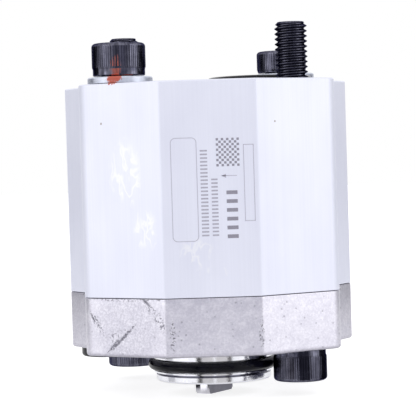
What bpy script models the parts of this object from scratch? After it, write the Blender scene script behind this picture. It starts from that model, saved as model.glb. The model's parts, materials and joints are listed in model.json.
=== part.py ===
# External gear pump with a front flange, a tang-ended drive shaft and rear suction port.
# Metres, +Z up. The drive shaft turns on Z, and the flange's mounting face lies at Z = 0,
# so the shaft end points down and the closed rear face of the body points up.
import math

import bmesh
import bpy
from mathutils import Vector

mm = 0.001

# Clearances
seat_gap = 0.3 * mm            # between faces that rest on each other
fit_gap = 0.25 * mm            # around a piece that sits in a hole or a groove
running_gap = 0.2 * mm         # around a journal, and beside the gear faces

# Gear set
tooth_count = 12
centre_distance = 26.0 * mm
pressure_angle = math.radians(25)
flank_backlash = 0.3 * mm      # taken off the pitch-circle thickness of each tooth
gear_width = 9.0 * mm
dedendum = 1.25                # depth of a tooth below the pitch circle, in modules
root_fillet = 0.4              # share of the half gap at the root that the fillet takes
journal_radius = 7.0 * mm
journal_relief = 0.6 * mm      # journals stop this far inside the blocks' outer faces
shaft_end_radius = 6.0 * mm

# Drive tang
tang_thickness = 4.0 * mm
tang_length = 5.5 * mm
tang_proud = 3.4 * mm          # how far the tang reaches below the pilot
tang_angle = math.radians(58)  # direction of the blade from +X

# Body and flange section
overall_height = 65.5 * mm
flange_thickness = 13.85 * mm
end_wall = 3.3 * mm            # metal outside the dowels, at the front and back facets
side_wall = 3.2 * mm           # metal outside the outlet's ring groove, at the side pads
label_facet_width = 22.8 * mm
shoulder_width = 61.6 * mm     # across the side walls at the rounded corners
shoulder_depth = 62.6 * mm     # between the corners, front to back
flare_width = 63.0 * mm        # across the side walls where they start to flare
flare_depth = 28.0 * mm
side_pad_depth = 13.0 * mm
shoulder_radius = 3.5 * mm
facet_radius = 1.2 * mm
flare_radius = 2.0 * mm
rear_wall = 12.0 * mm
body_edge = 0.4 * mm
flange_edge = 0.7 * mm

# Pilot, around the seal bore
pilot_wall = 2.28 * mm         # metal between the seal bore and the ring groove
pilot_end = 0.55 * mm          # metal below the retaining ring's groove
pilot_lip_step = 0.6 * mm      # how much slimmer the pilot's end is
pilot_land = 0.6 * mm          # rim left below the ring groove
pilot_edge = 0.4 * mm
pilot_ring_cord = 2.62 * mm
pilot_ring_proud = 1.4 * mm
pilot_ring_drop = 4.2 * mm     # middle of the ring below the mounting face

# Shaft seal and its retaining ring
seal_height = 5.6 * mm
seal_depth = 0.4 * mm          # floor of the seal bore below the mounting face
seal_wall = 1.1 * mm
lip_drop = 1.1 * mm            # from the seal's top to the top of its lip
lip_width = 0.9 * mm           # of the lip's slopes
lip_root_width = 1.35 * mm
seal_fillet = 0.45 * mm
garter_cord = 0.9 * mm
garter_play = 1.15 * mm        # between the garter spring and the seal's outer wall
clip_thickness = 0.95 * mm
clip_reach = 0.75 * mm         # how far the retaining ring grips into its groove
clip_width = 1.7 * mm
clip_gap = math.radians(16)
clip_ear = 2.6 * mm
clip_ear_hole = 0.65 * mm
clip_ear_flare = 1.3           # width of an ear at its root over that at its end

# Bearing blocks and bushes
block_edge = 0.5 * mm
bush_wall = 1.0 * mm
bush_inset = 0.75 * mm
relief_width = 4.0 * mm
relief_depth = 1.4 * mm
relief_inset = 2.1 * mm        # from the line of centres to each relief

# Pressure-balance seals in the outer faces of the blocks
balance_land = 0.5 * mm        # block metal outside the seal's groove
balance_width = 2.0 * mm
balance_height = 1.8 * mm
backup_height = 1.0 * mm
balance_reach = math.radians(62)

# Seals in the joint between the body and the flange
joint_cord = 1.8 * mm
joint_land = 0.6 * mm          # metal left between the bore and the groove
transfer_land = 0.85 * mm      # metal left between the outlet passage and its groove

# Ports
suction_offset = 14.0 * mm
suction_radius = 8.0 * mm
suction_depth = 10.5 * mm
suction_drill_radius = 4.5 * mm
suction_drill_offset = 16.0 * mm
suction_ring_land = 2.4 * mm   # metal left between the port and the ring's groove
suction_ring_cord = 3.1 * mm
suction_ring_proud = 2.0 * mm
outlet_land = 1.8 * mm         # metal between the joint seal's groove and the outlet's
outlet_radius = 4.85 * mm
outlet_drill_radius = 3.0 * mm
cross_drill_radius = 3.5 * mm
plug_radius = 7.4 * mm
plug_height = 3.0 * mm
plug_edge = 0.8 * mm
plug_stem = 7.0 * mm
plug_play = 1.0 * mm           # between the plug's end and the bottom of the port
plug_wall = 1.2 * mm

# Screws, washers and dowels
screw_radius = 4.0 * mm
screw_head_radius = 6.6 * mm
screw_head_height = 8.0 * mm
low_head_height = 5.8 * mm      # head of the back assembly screw
screw_collar_step = 0.2 * mm   # how much slimmer the plain collar is than the head
screw_collar_height = 1.3 * mm
screw_head_edge = 0.9 * mm
screw_tip_chamfer = 0.8 * mm
socket_flats = 6.0 * mm
socket_share = 0.55            # depth of a screw's socket, in heights of its head
screw_land = 0.8 * mm          # metal between the joint seal's groove and a screw hole
screw_angle = math.radians(25.25)  # direction of a screw from the nearer shaft axis
assembly_screw_length = 65.0 * mm
mounting_screw_length = 80.0 * mm
washer_radius = 8.0 * mm
washer_thickness = 1.6 * mm
washer_play = 0.5 * mm         # between the washer's hole and the screw
washer_shift = 0.2 * mm
thick_washer_thickness = 3.2 * mm  # under the back assembly screw
thick_washer_play = 0.9 * mm
thick_washer_shift = 0.65 * mm
washer_edge = 0.2 * mm
dowel_radius = 2.5 * mm
dowel_length = 16.0 * mm
dowel_edge = 0.5 * mm
dowel_land = 2.9 * mm          # metal left between the joint seal's groove and a dowel

# Facets of round shapes
large_sides = 44
medium_sides = 28
small_sides = 18
tiny_sides = 10

# Places that follow from the sizes above
middle_y = centre_distance / 2
body_bottom = flange_thickness + seat_gap
bore_top = overall_height - rear_wall
gear_module = centre_distance / tooth_count
gear_tip_radius = centre_distance / 2 + gear_module
gear_root_radius = centre_distance / 2 - dedendum * gear_module
bore_radius = gear_tip_radius + fit_gap
joint_seal_radius = bore_radius + joint_land + fit_gap + joint_cord / 2
joint_seal_edge = joint_seal_radius + joint_cord / 2 + fit_gap
screw_hole_radius = screw_radius + seat_gap
screw_reach = joint_seal_edge + screw_land + screw_hole_radius
dowel_hole_radius = dowel_radius + fit_gap
dowel_reach = joint_seal_edge + dowel_land + dowel_hole_radius
transfer_ring_radius = outlet_drill_radius + transfer_land + fit_gap + joint_cord / 2
transfer_edge = transfer_ring_radius + joint_cord / 2 + fit_gap
outlet_offset = joint_seal_edge + outlet_land + transfer_edge
outlet_depth = plug_stem + plug_play
section_depth = centre_distance + 2 * (dowel_reach + dowel_hole_radius + end_wall)
section_width = 2 * (outlet_offset + transfer_edge + side_wall)
suction_ring_radius = suction_radius + suction_ring_land + suction_ring_cord + fit_gap
block_length = (bore_top - body_bottom - gear_width - 2 * running_gap - 2 * seat_gap) / 2
front_block_bottom = body_bottom + seat_gap
gear_bottom = front_block_bottom + block_length + running_gap
gear_middle = gear_bottom + gear_width / 2
rear_block_bottom = gear_bottom + gear_width + running_gap
rear_block_top = rear_block_bottom + block_length
block_radius = bore_radius - fit_gap
balance_radius = block_radius - balance_land - fit_gap - balance_width / 2
bush_inner_radius = journal_radius + running_gap
bush_outer_radius = bush_inner_radius + bush_wall
lip_radius = shaft_end_radius + fit_gap
lip_back = lip_radius + lip_root_width
seal_radius = lip_back + fit_gap + garter_cord + garter_play + seal_wall
seal_top = -seal_depth - fit_gap
seal_bottom = seal_top - seal_height
clip_radius = seal_radius + clip_reach
clip_top = seal_bottom - seat_gap
clip_groove_bottom = clip_top - clip_thickness - fit_gap
pilot_height = pilot_end - clip_groove_bottom
pilot_groove_radius = seal_radius + fit_gap + pilot_wall
pilot_ring_radius = pilot_groove_radius + fit_gap + pilot_ring_cord
pilot_radius = pilot_ring_radius - pilot_ring_proud
pilot_lip_radius = pilot_radius - pilot_lip_step
tang_tip = pilot_height + tang_proud
screw_x = screw_reach * math.cos(screw_angle)
screw_y = screw_reach * math.sin(screw_angle)
screw_places = {
    "front_left": (-screw_x, -screw_y),
    "front_right": (screw_x, -screw_y),
    "back_left": (-screw_x, centre_distance + screw_y),
    "back_right": (screw_x, centre_distance + screw_y),
}
dowel_places = {"front": (0.0, -dowel_reach), "back": (0.0, centre_distance + dowel_reach)}
shaft_places = {"drive": (0.0, 0.0), "driven": (0.0, centre_distance)}

for old in list(bpy.data.objects):
    bpy.data.objects.remove(old, do_unlink=True)

parts = bpy.data.collections.new("hydraulic_pump")
cutters = bpy.data.collections.new("cutters")
for group in (parts, cutters):
    bpy.context.scene.collection.children.link(group)


def finish(name, colour, roughness, metallic):
    """A Principled material; colour is linear RGB."""
    material = bpy.data.materials.new(name)
    material.use_nodes = True
    shader = material.node_tree.nodes["Principled BSDF"]
    shader.inputs["Base Color"].default_value = (*colour, 1.0)
    shader.inputs["Roughness"].default_value = roughness
    shader.inputs["Metallic"].default_value = metallic
    return material


anodised = finish("anodised_aluminium", (0.80, 0.81, 0.86), 0.45, 0.6)
cast = finish("cast_aluminium", (0.66, 0.65, 0.70), 0.55, 0.8)
bearing_alloy = finish("bearing_alloy", (0.62, 0.62, 0.64), 0.40, 0.9)
ground_steel = finish("ground_steel", (0.45, 0.45, 0.48), 0.25, 1.0)
black_steel = finish("black_oxide_steel", (0.03, 0.03, 0.04), 0.40, 0.7)
zinc = finish("zinc_plate", (0.62, 0.65, 0.70), 0.30, 1.0)
spring_steel = finish("spring_steel", (0.20, 0.20, 0.22), 0.35, 1.0)
bush_bronze = finish("lined_bronze", (0.45, 0.30, 0.16), 0.45, 0.8)
rubber = finish("nitrile_rubber", (0.012, 0.012, 0.015), 0.55, 0.0)
backup_plastic = finish("backup_plastic", (0.75, 0.72, 0.62), 0.50, 0.0)
plug_plastic = finish("plug_plastic", (0.02, 0.02, 0.025), 0.50, 0.0)


def place_object(name, data, place, material):
    """Link an object: a part when it has a material, a cutter when it has none."""
    piece = bpy.data.objects.new(name, data)
    piece.location = place
    if material:
        data.materials.append(material)
        parts.objects.link(piece)
    else:
        cutters.objects.link(piece)
        piece.hide_render = True
        piece.display_type = "WIRE"
    return piece


def turned(name, profile, place, material=None, sides=large_sides, closed=False):
    """Turn a profile of (radius, height) points about Z, listed down its outer side."""
    mesh = bpy.data.meshes.new(name)
    edges = [(index, index + 1) for index in range(len(profile) - 1)]
    if closed:
        edges.append((len(profile) - 1, 0))
    mesh.from_pydata([(radius, 0, height) for radius, height in profile], edges, [])
    piece = place_object(name, mesh, place, material)
    turn = piece.modifiers.new("turn", "SCREW")
    turn.steps = sides
    turn.render_steps = sides
    turn.use_merge_vertices = True
    turn.merge_threshold = 0.00001
    return piece


def plate(name, loops, low, high, place=(0, 0), material=None):
    """A flat outline, with any holes as further loops, between two heights."""
    curve = bpy.data.curves.new(name, "CURVE")
    curve.dimensions = "2D"
    curve.fill_mode = "BOTH"
    curve.extrude = (high - low) / 2
    for loop in loops:
        spline = curve.splines.new("POLY")
        spline.points.add(len(loop) - 1)
        for point, (x, y) in zip(spline.points, loop):
            point.co = (x, y, 0, 1)
        spline.use_cyclic_u = True
    guide = place_object(name + "_outline", curve, (*place, (low + high) / 2), None)
    view = bpy.context.evaluated_depsgraph_get()
    mesh = bpy.data.meshes.new_from_object(guide.evaluated_get(view))
    mesh.name = name
    weld(mesh)
    piece = place_object(name, mesh, (0, 0, 0), material)
    piece.matrix_world = guide.matrix_world
    bpy.data.objects.remove(guide)
    return piece


def weld(mesh):
    """Merge the loose caps of a mesh made from a curve."""
    shape = bmesh.new()
    shape.from_mesh(mesh)
    bmesh.ops.remove_doubles(shape, verts=shape.verts, dist=0.000001)
    bmesh.ops.recalc_face_normals(shape, faces=shape.faces)
    shape.to_mesh(mesh)
    shape.free()


def drill(name, radius, start, end, sides=small_sides):
    """A cylindrical cutter between two points."""
    start, end = Vector(start), Vector(end)
    mesh = bpy.data.meshes.new(name)
    shape = bmesh.new()
    bmesh.ops.create_cone(shape, cap_ends=True, segments=sides, radius1=radius,
                          radius2=radius, depth=(end - start).length)
    shape.to_mesh(mesh)
    shape.free()
    cutter = place_object(name, mesh, (start + end) / 2, None)
    cutter.rotation_euler = (end - start).to_track_quat("Z", "Y").to_euler()
    return cutter


def box(name, size, place, turn=0.0):
    """A box-shaped cutter, turned about Z."""
    mesh = bpy.data.meshes.new(name)
    shape = bmesh.new()
    bmesh.ops.create_cube(shape, size=1.0)
    bmesh.ops.scale(shape, verts=shape.verts, vec=size)
    shape.to_mesh(mesh)
    shape.free()
    cutter = place_object(name, mesh, place, None)
    cutter.rotation_euler = (0, 0, turn)
    return cutter


def join(piece, other, operation="DIFFERENCE"):
    """Cut other from piece, or unite them."""
    step = piece.modifiers.new(other.name, "BOOLEAN")
    step.operation = operation
    step.solver = "EXACT"
    step.object = other


def soften_rims(piece, width, segments):
    """Bevel the edges where a flat end meets a wall, and not those between facets."""
    bevel = piece.modifiers.new("rims", "BEVEL")
    bevel.width = width
    bevel.segments = segments
    bevel.limit_method = "ANGLE"
    bevel.angle_limit = math.radians(75)


def arc(centre, radius, start, end, steps):
    """Points along an arc, both ends included."""
    return [(centre[0] + radius * math.cos(start + (end - start) * step / steps),
             centre[1] + radius * math.sin(start + (end - start) * step / steps))
            for step in range(steps + 1)]


def round_corner(before, corner, after, radius, steps):
    """Replace a corner by an arc that is tangent to both of its sides."""
    before, corner, after = Vector(before), Vector(corner), Vector(after)
    along, onward = (before - corner).normalized(), (after - corner).normalized()
    half = along.angle(onward) / 2
    reach = radius / math.tan(half)
    centre = corner + (along + onward).normalized() * radius / math.sin(half)
    first, last = corner + along * reach - centre, corner + onward * reach - centre
    turn = first.angle_signed(last)
    heading = math.atan2(first.y, first.x)
    return arc(centre, radius, heading, heading - turn, steps)


def section_outline():
    """The body's eight-sided section with its side pads, mirrored both ways."""
    quarter = [
        (label_facet_width / 2, section_depth / 2, facet_radius, 2),
        (shoulder_width / 2, shoulder_depth / 2, shoulder_radius, 4),
        (flare_width / 2, flare_depth / 2, flare_radius, 2),
        (section_width / 2, side_pad_depth / 2, facet_radius, 2),
    ]
    corners = []
    for side_x, side_y, points in ((1, -1, quarter), (1, 1, quarter[::-1]),
                                   (-1, 1, quarter), (-1, -1, quarter[::-1])):
        corners += [(side_x * x, side_y * y, radius, steps) for x, y, radius, steps in points]
    outline = []
    for index, (x, y, radius, steps) in enumerate(corners):
        before = corners[index - 1][:2]
        after = corners[(index + 1) % len(corners)][:2]
        outline += round_corner(before, (x, y), after, radius, steps)
    return outline


def twin_outline(radius, steps=22):
    """Two circles around the shaft axes, joined where they cross; centred on the drive."""
    half = centre_distance / 2
    start = math.asin(half / radius)
    lower = arc((0, 0), radius, start, -math.pi - start, steps)
    upper = arc((0, centre_distance), radius, math.pi + start, -start, steps)
    return lower[1:] + upper[1:]


def stadium_outline(radius, steps=12):
    """A long ring around both shaft axes, with straight sides."""
    lower = arc((0, 0), radius, 0, -math.pi, steps)
    upper = arc((0, centre_distance), radius, math.pi, 0, steps)
    return lower + upper


def three_outline(width, end_gap=0.0, steps=11):
    """A band shaped like a 3 around both bores, open towards the suction side."""
    outer, inner = balance_radius + width / 2, balance_radius - width / 2
    half = centre_distance / 2
    reach = balance_reach + end_gap / balance_radius
    cusp = math.pi - math.asin(half / outer)
    corner = math.pi - math.asin(half / balance_radius)
    first = arc((0, 0), outer, cusp, 2 * math.pi - reach, steps)
    back = arc((0, 0), inner, 2 * math.pi - reach, corner, steps)
    mirrored_back = [(x, centre_distance - y) for x, y in reversed(back)]
    mirrored_first = [(x, centre_distance - y) for x, y in reversed(first)]
    return first + back + mirrored_back + mirrored_first[:-1]


def involute(radius):
    """The involute function at a radius, for this gear's base circle."""
    base_radius = centre_distance / 2 * math.cos(pressure_angle)
    angle = math.acos(min(1.0, base_radius / radius))
    return math.tan(angle) - angle


def gear_outline(first_tooth, flank_steps=4):
    """A spur gear's outline; first_tooth is the direction of one tooth's middle."""
    pitch_radius = centre_distance / 2
    base_radius = pitch_radius * math.cos(pressure_angle)
    half_thickness = (math.pi * gear_module - flank_backlash) / 4 / pitch_radius
    at_pitch = half_thickness + involute(pitch_radius)
    flank = []
    for step in range(flank_steps + 1):
        radius = base_radius + (gear_tip_radius - base_radius) * step / flank_steps
        flank.append((radius, at_pitch - involute(radius)))
    outline = []
    for tooth in range(tooth_count):
        middle = first_tooth + 2 * math.pi * tooth / tooth_count
        gap_half = math.pi / tooth_count
        root = gap_half - (gap_half - flank[0][1]) * (1 - root_fillet)
        side = [(gear_root_radius, gap_half), (gear_root_radius, root)] + flank
        for radius, angle in side:
            outline.append((radius, middle - angle))
        for radius, angle in reversed(side[1:]):
            outline.append((radius, middle + angle))
    return [(radius * math.cos(angle), radius * math.sin(angle)) for radius, angle in outline]


def make_body():
    body = plate("pump_body", [section_outline()], body_bottom, overall_height,
                 (0, middle_y), anodised)
    soften_rims(body, body_edge, 1)
    join(body, plate("gear_bore", [twin_outline(bore_radius)], body_bottom - rear_wall, bore_top))
    for corner, (x, y) in screw_places.items():
        join(body, drill("body_screw_hole_" + corner, screw_hole_radius,
                         (x, y, 0), (x, y, overall_height + rear_wall)))
    for end, (x, y) in dowel_places.items():
        join(body, drill("body_dowel_hole_" + end, dowel_hole_radius, (x, y, 0),
                         (x, y, body_bottom + dowel_length / 2 + seat_gap)))
    suction_floor = overall_height - suction_depth
    join(body, drill("suction_port", suction_radius, (suction_offset, middle_y, suction_floor),
                     (suction_offset, middle_y, overall_height + rear_wall)))
    join(body, drill("suction_drilling", suction_drill_radius,
                     (suction_drill_offset, middle_y, gear_middle - suction_drill_radius),
                     (suction_drill_offset, middle_y, overall_height + rear_wall)))
    join(body, drill("suction_gallery", cross_drill_radius, (0, middle_y, gear_middle),
                     (suction_drill_offset, middle_y, gear_middle)))
    join(body, drill("outlet_drilling", outlet_drill_radius, (-outlet_offset, middle_y, 0),
                     (-outlet_offset, middle_y, gear_middle + outlet_drill_radius)))
    join(body, drill("outlet_gallery", cross_drill_radius - fit_gap, (0, middle_y, gear_middle),
                     (-outlet_offset, middle_y, gear_middle)))
    ring_middle = suction_ring_radius - suction_ring_cord / 2
    groove_floor = overall_height + suction_ring_proud - suction_ring_cord - seat_gap
    half_width = suction_ring_cord / 2 + fit_gap
    join(body, turned("suction_ring_groove", [
        (ring_middle + half_width, overall_height + rear_wall),
        (ring_middle + half_width, groove_floor),
        (ring_middle - half_width, groove_floor),
        (ring_middle - half_width, overall_height + rear_wall),
    ], (suction_offset, middle_y, 0), closed=True))


def make_flange():
    flange = plate("front_flange", [section_outline()], 0, flange_thickness,
                   (0, middle_y), cast)
    soften_rims(flange, flange_edge, 2)
    groove_half = pilot_ring_cord / 2 + fit_gap
    groove_bottom = -pilot_ring_drop - groove_half
    core = shaft_end_radius / 2
    join(flange, turned("pilot", [
        (core, flange_thickness / 2), (pilot_radius, flange_thickness / 2),
        (pilot_radius, -pilot_ring_drop + groove_half),
        (pilot_groove_radius, -pilot_ring_drop + groove_half),
        (pilot_groove_radius, groove_bottom), (pilot_radius, groove_bottom),
        (pilot_radius, groove_bottom - pilot_land),
        (pilot_lip_radius, groove_bottom - pilot_land - pilot_edge / 2),
        (pilot_lip_radius, -pilot_height + pilot_edge),
        (pilot_lip_radius - pilot_edge, -pilot_height), (core, -pilot_height),
    ], (0, 0, 0), closed=True), "UNION")
    clip_groove = clip_radius + seat_gap
    seal_bore = seal_radius + fit_gap
    shaft_bore = shaft_end_radius + 2 * seat_gap
    bore = turned("shaft_bore", [
        (0, body_bottom), (shaft_bore, body_bottom), (shaft_bore, -seal_depth),
        (seal_bore, -seal_depth), (seal_bore, clip_top + fit_gap / 2),
        (clip_groove, clip_top + fit_gap / 2),
        (clip_groove, clip_groove_bottom), (seal_bore, clip_groove_bottom),
        (seal_bore, -pilot_height - seat_gap), (0, -pilot_height - seat_gap),
    ], (0, 0, 0))
    bore.rotation_euler = (0, 0, math.pi / large_sides)
    join(flange, bore)
    for corner, (x, y) in screw_places.items():
        join(flange, drill("flange_screw_hole_" + corner, screw_hole_radius,
                           (x, y, -flange_thickness), (x, y, body_bottom)))
    for end, (x, y) in dowel_places.items():
        join(flange, drill("flange_dowel_hole_" + end, dowel_hole_radius,
                           (x, y, body_bottom - dowel_length / 2 - seat_gap),
                           (x, y, body_bottom)))
    join(flange, drill("outlet_port", outlet_radius, (-outlet_offset, middle_y, -outlet_depth),
                       (-outlet_offset, middle_y, outlet_depth)))
    join(flange, drill("outlet_passage", outlet_drill_radius, (-outlet_offset, middle_y, 0),
                       (-outlet_offset, middle_y, body_bottom)))
    half_width = joint_cord / 2 + fit_gap
    groove_depth = joint_cord + fit_gap
    join(flange, plate("joint_groove", [stadium_outline(joint_seal_edge),
                                        stadium_outline(joint_seal_radius - half_width)],
                       flange_thickness - groove_depth, body_bottom))
    join(flange, turned("transfer_groove", [
        (transfer_edge, body_bottom), (transfer_edge, flange_thickness - groove_depth),
        (transfer_ring_radius - half_width, flange_thickness - groove_depth),
        (transfer_ring_radius - half_width, body_bottom),
    ], (-outlet_offset, middle_y, 0), closed=True, sides=small_sides))


def make_shaft(name, first_tooth, tang):
    """A gear and its journals in one piece; the driving one runs on to the tang."""
    x, y = shaft_places[name]
    top = rear_block_top - journal_relief
    journal_bottom = front_block_bottom + journal_relief
    edge = block_edge
    profile = [(0, top), (journal_radius - edge, top), (journal_radius, top - edge),
               (journal_radius, journal_bottom + edge), (journal_radius - edge, journal_bottom)]
    if tang:
        profile += [(shaft_end_radius, journal_bottom), (shaft_end_radius, edge - tang_tip),
                    (shaft_end_radius - edge, -tang_tip), (0, -tang_tip)]
    else:
        profile += [(0, journal_bottom)]
    shaft = turned(name + "_gear_shaft", profile, (x, y, 0), ground_steel, medium_sides)
    join(shaft, plate(name + "_teeth", [gear_outline(first_tooth)], gear_bottom,
                      gear_bottom + gear_width, (x, y)), "UNION")
    if tang:
        offset = tang_thickness / 2 + shaft_end_radius
        across = Vector((-math.sin(tang_angle), math.cos(tang_angle), 0))
        for side in (-1, 1):
            middle = across * offset * side
            middle.z = -tang_tip
            size = (4 * shaft_end_radius, 2 * shaft_end_radius, 2 * tang_length)
            join(shaft, box(f"tang_flat_{side + 1}", size, middle, tang_angle))


def make_block(name, outer, inner, outward):
    """A bearing block between its outer face and its face against the gears."""
    low, high = min(outer, inner), max(outer, inner)
    block = plate(name + "_bearing_block", [twin_outline(block_radius)], low, high,
                  (0, 0), bearing_alloy)
    soften_rims(block, block_edge, 1)
    for shaft, (x, y) in shaft_places.items():
        join(block, drill(f"{name}_{shaft}_bush_hole", bush_outer_radius + fit_gap,
                          (x, y, low - block_length), (x, y, high + block_length), medium_sides))
        start = inner + outward * bush_inset
        end = outer - outward * bush_inset
        bush_low, bush_high = min(start, end), max(start, end)
        turned(f"{name}_{shaft}_bush", [
            (bush_outer_radius, bush_high), (bush_outer_radius, bush_low),
            (bush_inner_radius, bush_low), (bush_inner_radius, bush_high),
        ], (x, y, 0), bush_bronze, closed=True, sides=medium_sides)
    groove_depth = balance_height + backup_height + seat_gap + fit_gap
    floor = outer - outward * groove_depth
    groove = plate(name + "_balance_groove",
                   [three_outline(balance_width + 2 * fit_gap, -fit_gap)],
                   min(floor, outer + outward * block_edge), max(floor, outer + outward * block_edge))
    join(block, groove)
    for side in (-1, 1):
        join(block, box(f"{name}_trap_relief_{side + 1}",
                        (block_radius, relief_width, relief_depth * 2),
                        (side * (relief_inset + block_radius / 2), middle_y, inner)))
    backup_start = floor + outward * fit_gap
    backup_end = backup_start + outward * backup_height
    plate(name + "_backup_strip", [three_outline(balance_width)],
          min(backup_start, backup_end), max(backup_start, backup_end), (0, 0), backup_plastic)
    seal_start = backup_end + outward * fit_gap
    seal_end = seal_start + outward * balance_height
    plate(name + "_balance_seal", [three_outline(balance_width)],
          min(seal_start, seal_end), max(seal_start, seal_end), (0, 0), rubber)


def make_ring(name, radius, cord, place, material, sides=large_sides, steps=8):
    """A round-section ring; radius is to the middle of the cord."""
    profile = [(radius + x, z) for x, z in arc((0, 0), cord / 2, 0, -2 * math.pi, steps)[:-1]]
    turned(name, profile, place, material, sides, closed=True)


def make_seals():
    make_ring("pilot_o_ring", pilot_ring_radius - pilot_ring_cord / 2, pilot_ring_cord,
              (0, 0, -pilot_ring_drop), rubber)
    make_ring("suction_port_o_ring", suction_ring_radius - suction_ring_cord / 2,
              suction_ring_cord,
              (suction_offset, middle_y, overall_height + suction_ring_proud - suction_ring_cord / 2),
              rubber)
    joint_height = flange_thickness - joint_cord / 2
    make_ring("outlet_transfer_o_ring", transfer_ring_radius, joint_cord,
              (-outlet_offset, middle_y, joint_height), rubber, sides=small_sides)
    curve = bpy.data.curves.new("body_joint_seal", "CURVE")
    curve.dimensions = "3D"
    curve.bevel_depth = joint_cord / 2
    curve.bevel_resolution = 2
    route = curve.splines.new("POLY")
    points = stadium_outline(joint_seal_radius)
    route.points.add(len(points) - 1)
    for point, (x, y) in zip(route.points, points):
        point.co = (x, y, 0, 1)
    route.use_cyclic_u = True
    place_object("body_joint_seal", curve, (0, 0, joint_height), rubber)
    lip_top = seal_top - lip_drop
    lip_edge = (lip_top + seal_bottom) / 2
    floor = seal_bottom + seal_wall
    turned("shaft_lip_seal", [
        (seal_radius, seal_top), (seal_radius, seal_bottom),
        (lip_radius + lip_width, seal_bottom), (lip_radius, lip_edge),
        (lip_radius + lip_width / 2, lip_top), (lip_back, lip_top),
        (lip_back, floor + seal_fillet), (lip_back + seal_fillet, floor),
        (seal_radius - seal_wall, floor), (seal_radius - seal_wall, seal_top),
    ], (0, 0, 0), rubber, medium_sides, closed=True)
    make_ring("garter_spring", lip_back + fit_gap + garter_cord / 2, garter_cord,
              (0, 0, (lip_top + lip_edge) / 2), spring_steel, medium_sides, steps=6)


def make_retaining_ring():
    """An internal circlip with two drilled ears beside its gap."""
    outer, inner = clip_radius, clip_radius - clip_width
    ear_end = inner - clip_ear
    half_gap = clip_gap / 2
    ear_turn = clip_ear / inner
    start, end = half_gap, 2 * math.pi - half_gap
    outline = arc((0, 0), outer, start, end, medium_sides)
    outline += arc((0, 0), ear_end, end, end - ear_turn, 2)
    ear_root = ear_turn * clip_ear_flare
    outline += arc((0, 0), inner, end - ear_root, start + ear_root, medium_sides)
    outline += arc((0, 0), ear_end, start + ear_turn, start, 2)
    clip = plate("seal_retaining_ring", [outline], clip_top - clip_thickness, clip_top,
                 (0, 0), spring_steel)
    ear_middle = (outer + ear_end) / 2 - clip_ear_hole
    for side in (-1, 1):
        angle = side * (half_gap + ear_turn / 2)
        spot = (ear_middle * math.cos(angle), ear_middle * math.sin(angle))
        join(clip, drill(f"ear_hole_{side + 1}", clip_ear_hole,
                         (*spot, clip_top - 2 * clip_thickness),
                         (*spot, clip_top + clip_thickness), tiny_sides))


def make_screw(name, corner, length, seat, head_height, head_up):
    """A socket head cap screw; its head points up, or down when head_up is False."""
    half_hex = socket_flats / 2 / math.cos(math.pi / 6)
    collar_radius = screw_head_radius - screw_collar_step
    socket_depth = socket_share * head_height
    rim = (screw_head_radius - screw_head_edge, head_height - screw_head_edge)
    screw = turned(name, [
        (0, head_height), *arc(rim, screw_head_edge, math.pi / 2, 0, 2),
        (screw_head_radius, screw_collar_height), (collar_radius, screw_collar_height),
        (collar_radius, 0), (screw_radius, 0),
        (screw_radius, screw_tip_chamfer - length),
        (screw_radius - screw_tip_chamfer, -length), (0, -length),
    ], (*screw_places[corner], seat), black_steel, medium_sides)
    hexagon = arc((0, 0), half_hex, 0, 2 * math.pi, 6)[:-1]
    socket = plate(name + "_socket", [hexagon], head_height - socket_depth,
                   head_height + socket_depth)
    socket.parent = screw
    join(screw, socket)
    if not head_up:
        screw.rotation_euler = (math.pi, 0, 0)


def make_assembly_screw(corner, head_height, thickness, play, shift):
    """A screw with its head up on a washer, which lies aside by its shift."""
    x, y = screw_places[corner]
    low = overall_height + seat_gap
    high = low + thickness
    hole_radius = screw_radius + play
    turned("washer_" + corner, [
        (washer_radius - washer_edge, high), (washer_radius, high - washer_edge),
        (washer_radius, low + washer_edge), (washer_radius - washer_edge, low),
        (hole_radius, low), (hole_radius, high),
    ], (x + shift, y, 0), zinc, medium_sides, closed=True)
    make_screw("assembly_screw_" + corner, corner, assembly_screw_length,
               high + seat_gap, head_height, True)


def make_fasteners():
    make_assembly_screw("front_left", screw_head_height, washer_thickness, washer_play,
                        washer_shift)
    make_assembly_screw("back_right", low_head_height, thick_washer_thickness,
                        thick_washer_play, thick_washer_shift)
    for corner in ("front_right", "back_left"):
        make_screw("mounting_screw_" + corner, corner, mounting_screw_length, -seat_gap,
                   screw_head_height, False)
    for end, (x, y) in dowel_places.items():
        low = body_bottom - dowel_length / 2
        high = low + dowel_length
        turned("locating_dowel_" + end, [
            (0, high), (dowel_radius - dowel_edge, high), (dowel_radius, high - dowel_edge),
            (dowel_radius, low + dowel_edge), (dowel_radius - dowel_edge, low), (0, low),
        ], (x, y, 0), ground_steel, small_sides)


def make_plug():
    """The press-in transport plug of the outlet port, hollow from inside the port."""
    stem = outlet_radius - fit_gap
    rim = (plug_radius - plug_edge, plug_edge - plug_height)
    turned("outlet_port_plug", [
        (0, 0), (stem - plug_wall, 0), (stem - plug_wall, plug_stem),
        (stem - plug_wall / 2, plug_stem), (stem, plug_stem - plug_edge),
        (stem, -seat_gap), (plug_radius, -seat_gap),
        *arc(rim, plug_edge, 0, -math.pi / 2, 2), (0, -plug_height),
    ], (-outlet_offset, middle_y, 0), plug_plastic, medium_sides)


make_body()
make_flange()
make_shaft("drive", math.pi / 2, True)
make_shaft("driven", -math.pi / 2 + math.pi / tooth_count, False)
make_block("front", front_block_bottom, front_block_bottom + block_length, -1)
make_block("rear", rear_block_top, rear_block_bottom, 1)
make_seals()
make_retaining_ring()
make_fasteners()
make_plug()
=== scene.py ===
import json
import math

import bmesh
import bpy
from mathutils import Matrix, Vector

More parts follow.
